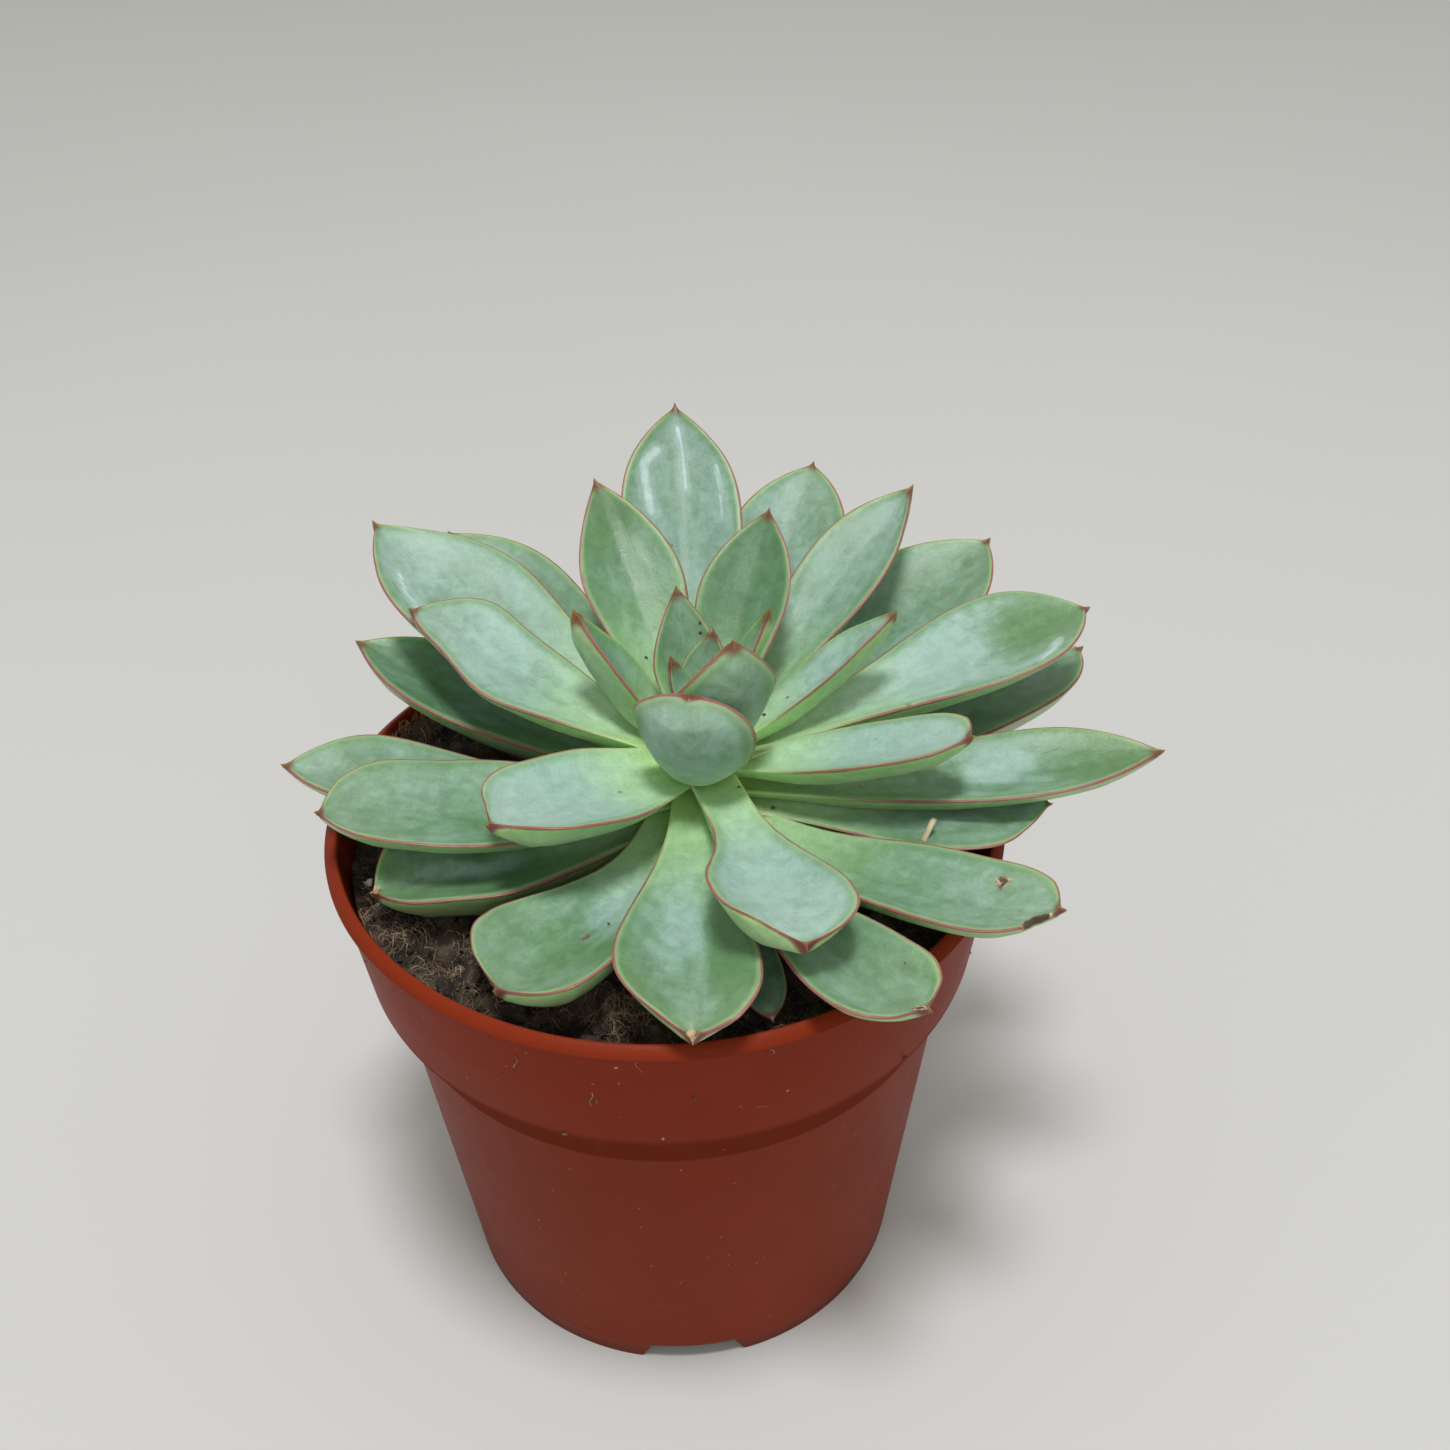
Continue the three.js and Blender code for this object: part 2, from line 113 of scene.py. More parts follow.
def wall_radius(z):
    """The radius of the outer wall, which runs straight between the foot, the step and the collar's top."""
    corners = ((FOOT_RADIUS, 0.0), BODY_TOP, COLLAR_FOOT, COLLAR_TOP)
    for (low_radius, low_z), (high_radius, high_z) in zip(corners, corners[1:]):
        if z <= high_z:
            break
    return low_radius + (high_radius - low_radius) * (z - low_z) / (high_z - low_z)


def outer(z):
    return wall_radius(z), z


def inner(z):
    return wall_radius(z) - WALL, z


ceiling = FLOOR_Z + FLOOR_THICKNESS
pot = spun([
    *((radius, FLOOR_Z) for radius in FLOOR_RADII), inner(FLOOR_Z), inner(FOOT_RING_TOP), inner(0),
    outer(0), outer(FOOT_RING_TOP), outer(FOOT_RING_BLEND), outer(BODY_MIDDLE), BODY_TOP, COLLAR_FOOT,
    COLLAR_MIDDLE, COLLAR_SHOULDER, COLLAR_TOP, *LIP, inner(LIP_UNDERSIDE), inner(COLLAR_FOOT[1]),
    inner(BODY_TOP[1]), inner(BODY_MIDDLE), inner(ceiling),
    *((radius, ceiling) for radius in reversed(FLOOR_RADII)),
], POT_SIDES)


def lies_on(edge, ring):
    """Whether an edge is part of the outline's corner at this radius and height."""
    return all(abs(v.co.z - ring[1]) < 0.01 and abs(v.co.xy.length - ring[0]) < 0.3 for v in edge.verts)


step_edges = [e for e in pot.edges if lies_on(e, BODY_TOP) or lies_on(e, COLLAR_FOOT)]
bmesh.ops.bevel(pot, geom=step_edges, offset=STEP_ROUNDING, offset_type="OFFSET", segments=4, profile=0.5,
                affect="EDGES", material=-1)


def over_hole(face, middle):
    """Whether a face of the floor, seen from above or below, makes way for the hole round this middle."""
    centre = face.calc_center_median().xy
    return (abs(face.normal.z) > 0.9 and (centre - middle).length < 1.5 * DRAIN_RADIUS
            and abs(centre.length - DRAIN_CIRCLE) < DRAIN_RADIUS
            and abs(centre.angle(middle)) < math.radians(DRAIN_HALF_DEGREES))


for k in range(DRAIN_HOLES):
    middle = Vector((DRAIN_CIRCLE, 0, 0))
    middle.rotate(Matrix.Rotation(math.tau * (k + 0.5) / DRAIN_HOLES, 3, "Z"))
    opened = [f for f in pot.faces if over_hole(f, middle.xy)]
    patch = set(opened)
    brinks = [e for e in pot.edges if sum(f in patch for f in e.link_faces) == 1]
    bmesh.ops.delete(pot, geom=opened, context="FACES")
    for v in {v for e in brinks for v in e.verts}:
        v.co.xy = middle.xy + (v.co.xy - middle.xy).normalized() * DRAIN_RADIUS
    bmesh.ops.bridge_loops(pot, edges=brinks)
bmesh.ops.recalc_face_normals(pot, faces=pot.faces)

# The notches are cut up into the foot ring, and the soft wall is a little out of round towards its rim
half_spacing = NOTCH_SPACING_DEGREES / 2
for v in pot.verts:
    around = math.atan2(v.co.y, v.co.x)
    past_first = math.degrees(around) - FIRST_NOTCH_DEGREES
    past_nearest = (past_first + half_spacing) % NOTCH_SPACING_DEGREES - half_spacing
    from_notch = math.radians(past_nearest) * FOOT_RADIUS
    slope = (NOTCH_HALF_WIDTH - abs(from_notch)) / (NOTCH_HALF_WIDTH - NOTCH_ROOF_HALF_WIDTH)
    if v.co.z < FOOT_RING_TOP / 2:
        v.co.z = NOTCH_HEIGHT * clamp(slope)
    squeeze = OUT_OF_ROUND * math.sin(around * 2 + 0.6) * clamp(v.co.z / POT_HEIGHT)
    v.co.x *= 1 + squeeze
    v.co.y *= 1 - squeeze
pot_piece = to_piece(pot, "nursery_pot", "pot_plastic", ["pot"])


def add(tree, kind, inputs=None, **settings):
    """Adds a node, sets its settings, and sets or joins its inputs by their name or number."""
    made = tree.nodes.new(kind)
    for key, value in settings.items():
        setattr(made, key, value)
    for key, value in (inputs or {}).items():
        if isinstance(value, bpy.types.NodeSocket):
            tree.links.new(value, made.inputs[key])
        else:
            made.inputs[key].default_value = value
    return made


def maths(tree, how, first, second):
    return add(tree, "ShaderNodeMath", {0: first, 1: second}, operation=how).outputs[0]


def times(tree, first, second):
    return maths(tree, "MULTIPLY", first, second)


def plus(tree, first, second):
    return maths(tree, "ADD", first, second)


def cloud(tree, where, scale, detail=3.0, rough=0.5, distortion=0.0):
    made = add(tree, "ShaderNodeTexNoise", {"Vector": where, "Scale": scale, "Detail": detail,
                                            "Roughness": rough, "Distortion": distortion})
    return made.outputs["Fac"]


def ease(tree, value, low, high, start=0.0, end=1.0):
    """start where the value is low, end where it is high, and a soft change between them."""
    made = add(tree, "ShaderNodeMapRange", {"Value": value, "From Min": low, "From Max": high,
                                            "To Min": start, "To Max": end}, interpolation_type="SMOOTHSTEP")
    return made.outputs["Result"]


def tint(tree, share, first, second, how="MIX"):
    made = add(tree, "ShaderNodeMix", {0: share, 6: first, 7: second}, data_type="RGBA", blend_type=how)
    return made.outputs[2]


def split(tree, colour):
    return add(tree, "ShaderNodeSeparateColor", {"Color": colour}).outputs


def height_above_table(tree, where):
    return add(tree, "ShaderNodeSeparateXYZ", {"Vector": where}).outputs["Z"]


def emboss(tree, shader, relief, strength, depth):
    """Makes the light fall on a surface as if it had this relief, at most depth metres deep."""
    bump = add(tree, "ShaderNodeBump", {"Height": relief, "Strength": strength, "Distance": depth})
    tree.links.new(bump.outputs["Normal"], shader.inputs["Normal"])


def new_material(name):
    made = bpy.data.materials.new(name)
    made.use_nodes = True
    shader = made.node_tree.nodes["Principled BSDF"]
    where = add(made.node_tree, "ShaderNodeTexCoord").outputs["Object"]
    return made, made.node_tree, shader, where


# Specks: crumbs of peat and dust that stick to a surface, as a mask of soft ragged dots. A larger Size makes
# smaller dots, and Spread is the share of places that hold one.
specks = bpy.data.node_groups.new("stuck_specks", "ShaderNodeTree")
for socket, start in (("Size", 400.0), ("Spread", 0.2)):
    specks.interface.new_socket(socket, in_out="INPUT", socket_type="NodeSocketFloat").default_value = start
specks.interface.new_socket("Mask", in_out="OUTPUT", socket_type="NodeSocketFloat")
given = specks.nodes.new("NodeGroupInput").outputs
spot_place = add(specks, "ShaderNodeTexCoord").outputs["Object"]
ragged = cloud(specks, spot_place, 2600.0, 2.0)
spots = add(specks, "ShaderNodeTexVoronoi", {"Vector": spot_place, "Scale": given["Size"]}).outputs
near = plus(specks, spots["Distance"], times(specks, ragged, 0.35))
chosen = maths(specks, "LESS_THAN", split(specks, spots["Color"])["Red"], given["Spread"])
dots = times(specks, ease(specks, near, 0.3, 0.38, 1.0, 0.0), chosen)
specks.links.new(dots, specks.nodes.new("NodeGroupOutput").inputs["Mask"])


def stuck_specks(tree, size, spread):
    return add(tree, "ShaderNodeGroup", {"Size": size, "Spread": spread}, node_tree=specks).outputs["Mask"]


# The plastic is even in colour and duller towards the foot. Shade is painted on the lip's top, and under the
# step, where the slant turns from the light. Crumbs and pale grains of dust stick to it.
TERRACOTTA = (0.18, 0.02, 0.005, 1)
BRIGHT_TERRACOTTA = (0.215, 0.025, 0.0065, 1)
DULL_TERRACOTTA = (0.15, 0.03, 0.015, 1)
CHALKY_FILM = (0.27, 0.12, 0.075, 1)
LIP_PAINTED_SHADE = (0.165, 0.02, 0.006, 1)
STEP_PAINTED_SHADE = (0.05, 0.006, 0.001, 1)
CRUMB_BROWN = (0.03, 0.018, 0.012, 1)
DUST_TAN = (0.3, 0.17, 0.1, 1)
plastic, tree, shader, where = new_material("terracotta_plastic")
height = height_above_table(tree, where)
broad = cloud(tree, where, 18.0, 3.0, 0.55)
smear = cloud(tree, where, 120.0, 4.0, 0.6, 1.2)
colour = tint(tree, ease(tree, broad, 0.35, 0.68), TERRACOTTA, BRIGHT_TERRACOTTA)
colour = tint(tree, times(tree, ease(tree, height, 0.085, 0.03), 0.35), colour, DULL_TERRACOTTA)
colour = tint(tree, times(tree, ease(tree, smear, 0.5, 0.8), 0.05), colour, CHALKY_FILM)
lip_z, step_foot_z, step_top_z = (0.001 * corner[1] for corner in (COLLAR_TOP, BODY_TOP, COLLAR_FOOT))
# Painted shade: the lip's top is tinted a little darker than the rest of the plastic
painted_lip_shade = ease(tree, height, lip_z - 0.0007, lip_z - 0.0001)
colour = tint(tree, times(tree, painted_lip_shade, 0.8), colour, LIP_PAINTED_SHADE)
# Painted shade under the step, where the slant faces down and away from the lamp; the plastic is also rougher
# there
painted_step_shade = times(tree, ease(tree, height, step_foot_z - 0.0007, step_foot_z + 0.0007),
                   ease(tree, height, step_top_z + 0.0013, step_top_z - 0.001))
colour = tint(tree, times(tree, painted_step_shade, 0.35), colour, STEP_PAINTED_SHADE)
crumbs = stuck_specks(tree, 330.0, 0.035)
colour = tint(tree, times(tree, crumbs, 0.85), colour, CRUMB_BROWN)
colour = tint(tree, times(tree, stuck_specks(tree, 900.0, 0.03), 0.6), colour, DUST_TAN)
tree.links.new(colour, shader.inputs["Base Color"])
matt = plus(tree, ease(tree, smear, 0.3, 0.75, 0.42, 0.48), times(tree, painted_step_shade, 0.5))
tree.links.new(matt, shader.inputs["Roughness"])
ripples = times(tree, cloud(tree, where, 60.0, 2.0), 0.5)
emboss(tree, shader, plus(tree, plus(tree, cloud(tree, where, 1500.0, 2.0), ripples), crumbs), 0.16, 0.00025)
shader.inputs["Specular IOR Level"].default_value = 0.12
shader.inputs["IOR"].default_value = 1.3
pot_piece.data.materials.append(plastic)


# The peat: dark fibrous potting peat, pressed level round the stem and heaped against the wall at the front
# left and the back left. Its top is one crumbly surface, with loose crumbs and dry fibres lying on it.
PEAT_LEVEL = 81.5
FRONT_HEAP = 3.2
BACK_HEAP = 8.0
BACK_HEAP_AT = (-43, 23)
BACK_HEAP_SPREAD = 160
PEAT_EDGE_Z = 83.0
PEAT_CELLS = 190
PEAT_PLAY = 0.3
LUMP_SIZE = 7.0
LUMP_HEIGHT = 1.5
CLOD_SIZE = 4.2
CLOD_HEIGHT = 1.6
GRAIN_SIZE = 0.9
GRAIN_HEIGHT = 0.5


def peat_height(x, y):
    """The peat's top before it is made crumbly: level but for slow waves and the two heaps."""
    front = clamp((-x - 1.4 * y) / 60)
    waves = 0.7 * math.sin(x * 0.33 + 1) * math.cos(y * 0.29) + 0.5 * math.sin(x * 0.71 - y * 0.63)
    from_heap = (x - BACK_HEAP_AT[0]) ** 2 + (y - BACK_HEAP_AT[1]) ** 2
    back = math.exp(-from_heap / BACK_HEAP_SPREAD)
    return PEAT_LEVEL + FRONT_HEAP * front * front + BACK_HEAP * back + waves


def peat_surface(x, y):
    """The peat's top with its lumps, clods and grains, which are lower beside the wall."""
    lumps = LUMP_HEIGHT * noise.fractal(Vector((x / LUMP_SIZE, y / LUMP_SIZE, 3.0)), 0.9, 2.1, 4)
    clods = CLOD_HEIGHT * abs(noise.noise(Vector((x / CLOD_SIZE, y / CLOD_SIZE, 9.0))))
    grains = GRAIN_HEIGHT * noise.noise(Vector((x / GRAIN_SIZE, y / GRAIN_SIZE, 5.0)))
    off_wall = clamp((inner(PEAT_EDGE_Z)[0] - math.hypot(x, y)) / 3)
    return peat_height(x, y) + (lumps + clods + grains - 0.5) * (0.35 + 0.65 * off_wall)


# A square grid is pressed into a round one for the top, and its edge is drawn down along the wall
peat = bmesh.new()
bmesh.ops.create_grid(peat, x_segments=PEAT_CELLS, y_segments=PEAT_CELLS, size=1)
brim = inner(PEAT_LEVEL)[0] - PEAT_PLAY
for v in peat.verts:
    x, y = v.co.x, v.co.y
    v.co.x = brim * x * math.sqrt(1 - y * y / 2)
    v.co.y = brim * y * math.sqrt(1 - x * x / 2)
    v.co.z = peat_surface(v.co.x, v.co.y)
skirt = [e for e in peat.edges if e.is_boundary]
for level in (COLLAR_FOOT[1], BODY_TOP[1], ceiling + PEAT_PLAY):
    grown = bmesh.ops.extrude_edge_only(peat, edges=skirt)["geom"]
    skirt = [e for e in grown if isinstance(e, bmesh.types.BMEdge)]
    for v in {v for e in skirt for v in e.verts}:
        v.co.xy *= (inner(level)[0] - PEAT_PLAY) / v.co.xy.length
        v.co.z = level
bmesh.ops.contextual_create(peat, geom=skirt)
bmesh.ops.recalc_face_normals(peat, faces=peat.faces)
peat_piece = to_piece(peat, "peat_fill", "peat", ["peat"])

DAMP_PEAT = (0.015, 0.011, 0.008, 1)
DRY_PEAT = (0.09, 0.062, 0.04, 1)
FELTED_PEAT = (0.24, 0.16, 0.1, 1)
dark_peat, tree, shader, where = new_material("dark_peat")
felt = cloud(tree, where, 700.0, 5.0, 0.5, 3.0)
colour = tint(tree, ease(tree, cloud(tree, where, 140.0, 5.0, 0.65, 0.8), 0.4, 0.68), DAMP_PEAT, DRY_PEAT)
colour = tint(tree, times(tree, ease(tree, felt, 0.55, 0.72), 0.6), colour, FELTED_PEAT)
tree.links.new(colour, shader.inputs["Base Color"])
shader.inputs["Roughness"].default_value = 0.92
emboss(tree, shader, plus(tree, cloud(tree, where, 900.0, 6.0, 0.7), felt), 0.9, 0.0008)
peat_piece.data.materials.append(dark_peat)

# Loose crumbs on the peat, small broken lumps of all sizes
CRUMBS = 520
SMALLEST_CRUMB = 0.35
LARGEST_CRUMB = 2.45
chance = random.Random(7)


def stored(bm, name):
    """Ends a bmesh and keeps its shape as a mesh."""
    mesh = bpy.data.meshes.new(name)
    bm.to_mesh(mesh)
    bm.free()
    return mesh


lump = bmesh.new()
bmesh.ops.create_icosphere(lump, subdivisions=2, radius=1)
lump_mesh = stored(lump, "lump")


def peat_spot():
    """A place on the open peat, most often near the wall, where the leaves don't cover it."""
    radius = brim * (0.42 + 0.56 * chance.random() ** 0.6)
    around = math.radians(chance.uniform(-180, 180) if chance.random() < 0.45 else chance.uniform(-175, -60))
    return radius * math.cos(around), radius * math.sin(around)


def gather(bm, pattern, shape):
    """Adds a copy of the pattern mesh to bm, each of its points moved by shape."""
    copy = bmesh.new()
    copy.from_mesh(pattern)
    for v in copy.verts:
        v.co = shape(v.co)
    holder = stored(copy, "holder")
    bm.from_mesh(holder)
    bpy.data.meshes.remove(holder)


crumb_heap = bmesh.new()
for i in range(CRUMBS):
    x, y = peat_spot()
    size = SMALLEST_CRUMB + (LARGEST_CRUMB - SMALLEST_CRUMB) * chance.random() ** 3.5
    seed = Vector((i * 3.1, 0, 0))
    turn = Matrix.Rotation(chance.uniform(0, math.tau), 3, "Z")
    turn = turn @ Matrix.Rotation(chance.uniform(0, 3), 3, "X")
    seat = Vector((x, y, peat_surface(x, y) + size * 0.35))
    flat = chance.uniform(0.5, 0.9)
    gather(crumb_heap, lump_mesh, lambda p: seat + size * (turn @ Vector((p.x, p.y * 0.8, p.z * flat)))
           * (1 + 0.5 * noise.noise(p * 1.7 + seed)))
crumbs_piece = to_piece(crumb_heap, "peat_crumbs", "peat")
crumbs_piece.data.materials.append(dark_peat)

# Dry fibres: hair-thin pale and brown strands of sphagnum and root, curling over the crumbs. Most lie singly,
# and the rest in tufts, each given as its place, its numbers of pale and brown strands, and its spread.
SINGLE_FIBRES = 620
PALE_SHARE = 0.3
FIBRES_WITHIN = inner(PEAT_EDGE_Z + 1)[0] - 0.5
TUFTS = (
    (-43, -18, 40, 50, 2.2), (-39, -24, 40, 50, 2.2), (-29.5, -29, 90, 30, 2.6), (-24, -35, 40, 30, 2.4),
    (-6.5, -40, 110, 60, 2.2), (-15, -38, 20, 60, 3.0), (19, -44, 30, 30, 2.4), (-44, 4, 30, 40, 3.0),
    (-44, 18, 30, 60, 2.6), (-39, 25, 20, 60, 2.6),
)
strand = bmesh.new()
bmesh.ops.create_cone(strand, cap_ends=True, segments=4, radius1=1, radius2=1, depth=1)


def long_edges(bm):
    """The edges that run along an upright tube of length 1."""
    return [e for e in bm.edges if abs(e.verts[0].co.z - e.verts[1].co.z) > 0.5]


bmesh.ops.subdivide_edges(strand, edges=long_edges(strand), cuts=9)
strand_mesh = stored(strand, "strand")


def lay_fibre(bm, x, y, length, thick, lift, curl):
    """One strand that lies over the peat from x, y, tapering and curling, and stops short of the wall."""
    heading = chance.uniform(0, math.tau)
    seed = Vector((chance.uniform(0, 90), 0, 0))

    def shape(p):
        t = p.z + 0.5
        turned = heading + curl * t + 0.9 * noise.noise(seed + Vector((0, t * 2, 0)))
        along = length * t
        at_x, at_y = x + along * math.cos(turned), y + along * math.sin(turned)
        out = math.hypot(at_x, at_y)
        if out > FIBRES_WITHIN:
            at_x, at_y = at_x * FIBRES_WITHIN / out, at_y * FIBRES_WITHIN / out
        arch = lift * math.sin(math.pi * t) + 0.25 + 0.6 * abs(noise.noise(seed + Vector((t * 3, 5, 0))))
        narrow = thick * (1 - 0.6 * t)
        return Vector((at_x - p.x * narrow * math.sin(turned), at_y + p.x * narrow * math.cos(turned),
                       peat_surface(at_x, at_y) + arch + p.y * narrow))

    gather(bm, strand_mesh, shape)


pale_fibres, brown_fibres = bmesh.new(), bmesh.new()
for i in range(SINGLE_FIBRES):
    x, y = peat_spot()
    lay_fibre(pale_fibres if chance.random() < PALE_SHARE else brown_fibres, x, y,
              length=1.2 + 3.6 * chance.random() ** 2, thick=0.035 + 0.05 * chance.random() ** 2,
              lift=0.1 + 0.6 * chance.random() ** 2, curl=chance.uniform(-0.7, 0.7))
for tuft_x, tuft_y, pale_count, brown_count, spread in TUFTS:
    for i in range(pale_count + brown_count):
        lay_fibre(pale_fibres if i < pale_count else brown_fibres,
                  tuft_x + chance.gauss(0, spread), tuft_y + chance.gauss(0, spread * 0.8),
                  length=1 + 3.2 * chance.random(), thick=0.035 + 0.045 * chance.random(),
                  lift=0.4 + 1.8 * chance.random(), curl=chance.uniform(-1.2, 1.2))


def two_tone(name, first, second, patches, roughness, grain, strength, depth, between=None):
    """A dry material that goes from one colour to another in soft patches, with a fine grain in relief. With
    between, the change is quick, between these two values of the pattern."""
    made, tree, shader, where = new_material(name)
    share = cloud(tree, where, patches)
    if between:
        share = ease(tree, share, *between)
    tree.links.new(tint(tree, share, first, second), shader.inputs["Base Color"])
    shader.inputs["Roughness"].default_value = roughness
    emboss(tree, shader, cloud(tree, where, grain), strength, depth)
    return made


DRY_BROWN = (0.2, 0.13, 0.08, 1)
DRY_TAN = (0.42, 0.32, 0.21, 1)
ROOT_BLACK = (0.05, 0.028, 0.018, 1)
ROOT_BROWN = (0.16, 0.09, 0.05, 1)
dry_fibre, brown_fibre = (
    two_tone(name, dark, light, patches=260.0, roughness=0.75, grain=4000.0, strength=0.4, depth=0.0001,
             between=(0.38, 0.62))
    for name, dark, light in (("dry_fibre", DRY_BROWN, DRY_TAN), ("brown_fibre", ROOT_BLACK, ROOT_BROWN)))
to_piece(pale_fibres, "pale_fibres", "peat").data.materials.append(dry_fibre)
to_piece(brown_fibres, "brown_fibres", "peat").data.materials.append(brown_fibre)


# The leaves: thick water-storing blades that grow round a short stem in a rosette, hollow above and bulging
# below, with a thin red edge and a short red horn; a grey-blue waxy bloom covers the green skin. Along a leaf
# t runs from 0 at the root to 1 at the tip, and across it s from -1 on its right to 1 on its left.
STEM_AXIS = Vector((5.5, -2.0, 0.0))
LEAF_ROOT_RADIUS = 3.6
HEART_ROOT_RADIUS = 1.0
BROAD_LEAF = 16.0
THICKNESS_PER_WIDTH = 0.29
EDGE_THICKNESS = 0.55
CLOSED_AT = 0.982
HORN_LENGTH = 3.0
HORN_HALF_WIDTH = 0.6
GROOVE_DEPTH = 0.3
SCAR_DEPTH = 0.25
DEEPEST_DENT = 2.0
LEAF_SIDES = 60
LEAF_RINGS = 92

# How a blade widens from its neck and closes at its tip: the neck's share of the full width, where the
# widening starts, where the blade is widest, how late it widens, and two powers for the end.
OUTLINES = {
    "spoon": (0.4, 0.2, 0.8, 1.4, 3.2, 0.75),
    "paddle": (0.36, 0.15, 0.74, 1.2, 2.3, 0.82),
    "oblong": (0.42, 0.12, 0.7, 1.0, 3.4, 0.78),
    "strap": (0.5, 0.05, 0.6, 0.8, 3.8, 0.75),
    "pointed": (0.46, 0.1, 0.67, 1.0, 2.3, 0.85),
    "young": (0.52, 0.08, 0.6, 1.0, 2.0, 0.95),
    "bud": (0.6, 0.05, 0.62, 0.8, 2.8, 0.66),
    "gable": (0.6, 0.05, 0.5, 0.8, 1.5, 0.9),
    "heart": (0.68, 0.05, 0.45, 1.0, 1.7, 1.0),
}


def half_width(width, outline, t, length):
    """Half of the blade's width at t, with a thin horn at the very tip that the blade flows into."""
    neck, start, widest, late, blunt, close = OUTLINES[outline]
    growth = clamp((t - start) / (widest - start)) ** late
    widening = neck + (1 - neck) * growth * growth * (3 - 2 * growth)
    closing = (1 - clamp((t - widest) / (CLOSED_AT - widest)) ** blunt) ** close
    body = width / 2 * (widening if t < widest else closing)
    if t < 0.8:
        return body
    size = min(1, width / BROAD_LEAF)
    to_tip = (1 - t) * length
    horn = HORN_HALF_WIDTH * size * clamp(to_tip / (HORN_LENGTH * size)) ** 0.8
    flare = 0.35 * (size * clamp(to_tip / 1.2)) ** 2
    return 0.5 * (body + horn + math.sqrt((body - horn) ** 2 + flare))


def thickness_share(t):
    """The bulge of the underside: thin where it leaves the stem, fullest in the middle, gone at the tip."""
    root = clamp(0.5 + 1.6 * t)
    middle = 0.72 + 0.33 * math.sin(math.pi * t ** 0.9)
    return root * middle * clamp((1 - t) / 0.16) ** 0.6


def hook_share(t):
    """How far the end sinks at t: softly from the blade on, and back to nothing in the horn."""
    if t >= 0.93:
        return clamp((1 - t) / 0.07) ** 0.7
    rise = clamp((t - 0.6) / 0.33)
    return rise * rise * (3 - 2 * rise)


def swelling(seed, t, s):
    """Slight unevenness of the skin in mm, which dies away at the edges, the root and the tip."""
    swell = 0.45 * noise.noise(seed + Vector((t * 3.2, s * 1.1, 4.0)))
    swell += 0.14 * noise.noise(seed + Vector((t * 9, s * 3, 8.0)))
    return swell * (1 - s ** 4) * clamp(t * 4) * clamp((1 - t) * 6)


def groove(t, s):
    """The shallow groove over the midrib, in mm."""
    return GROOVE_DEPTH * math.exp(-((s / 0.14) ** 2)) * clamp((t - 0.15) * 3) * clamp((0.97 - t) * 6)


def bitten(bites, number, t, s, half):
    """The half width that torn places and dents leave at t, and how torn the edge is there."""
    torn = 0.0
    for bite_t, side, bite_half, depth in bites:
        if s * side > 0:
            share = clamp(1 - abs(t - bite_t) / bite_half)
            ragged = 0.75 + 0.5 * noise.noise(Vector((t * 60, bite_t * 9, number)))
            if depth > DEEPEST_DENT:
                torn = max(torn, share ** 0.3 * clamp((abs(s) - 0.7) / 0.15))
            half = max(half - depth * math.sqrt(share) * ragged * abs(s), 0.3)
    return half, torn


def marked(marks, tone, upper, t, s, length, half):
    """The skin's tone with its marks, how scarred it is, and how far a scar sinks it in mm."""
    scar = sunk = 0.0
    for kind, mark_t, mark_s, long, wide in marks:
        away = math.hypot((t - mark_t) * length / long, (s - mark_s) * half / wide)
        if kind == "bloom":
            tone += 0.6 * clamp(1.2 - away)
        elif kind == "rub":
            tone -= 0.6 * clamp(1.2 - away)
        elif upper and kind == "scar":
            scar = max(scar, clamp(1.25 - away))
            sunk += SCAR_DEPTH * clamp(1 - away)
        elif upper and kind == "burn":
            scar = max(scar, 3 * clamp(1.1 - away))
    return tone, scar, sunk


def painted_highlight_share(highlight_lines, here):
    """How much painted highlight, a glossy streak of the lamp, the nearest streak puts on a place of the
    blade.
    """
    highlight = 0.0
    for points, wide in highlight_lines:
        for a, b in zip(points, points[1:]):
            span = b - a
            aside = (here - a - span * clamp((here - a).dot(span) / span.length_squared)).length
            highlight = max(highlight, clamp(1.5 - aside / wide))
    return highlight


class Midrib:
    """The line that a leaf follows: it turns evenly upwards and sideways, laid from its root to its tip."""

    STEPS = 160

    def __init__(self, az, reach, tip_z, root_z, bend, sweep, root_radius):
        bend, sweep, az = math.radians(bend), math.radians(sweep), math.radians(az)
        self.headings, self.points = [], [Vector()]
        for i in range(self.STEPS + 1):
            pitch, yaw = bend * (i / self.STEPS - 0.5), sweep * (i / self.STEPS - 0.5)
            self.headings.append(Vector((math.cos(pitch) * math.cos(yaw), math.cos(pitch) * math.sin(yaw),
                                         math.sin(pitch))))
        for a, b in zip(self.headings, self.headings[1:]):
            self.points.append(self.points[-1] + (a + b) / (2 * self.STEPS))
        end, out, rise = self.points[-1], reach - root_radius, tip_z - root_z
        self.length = math.hypot(out, rise)
        lift = math.atan2(rise, out) - math.atan2(end.z, math.hypot(end.x, end.y))
        turn = (Matrix.Rotation(az, 3, "Z") @ Matrix.Rotation(-lift, 3, "Y")
                @ Matrix.Rotation(-math.atan2(end.y, end.x), 3, "Z"))
        root = STEM_AXIS + Vector((root_radius * math.cos(az), root_radius * math.sin(az), root_z))
        scale = self.length / end.length
        self.points = [root + scale * (turn @ p) for p in self.points]
        self.headings = [turn @ h for h in self.headings]
        self.up = turn @ Vector((0, 0, 1))

    def at(self, t):
        """The point at t, with the blade's left-hand and upward directions there."""
        i = min(int(t * self.STEPS), self.STEPS - 1)
        part = t * self.STEPS - i
        along = self.headings[i].lerp(self.headings[i + 1], part).normalized()
        left = self.up.cross(along).normalized()
        return self.points[i].lerp(self.points[i + 1], part), left, along.cross(left)


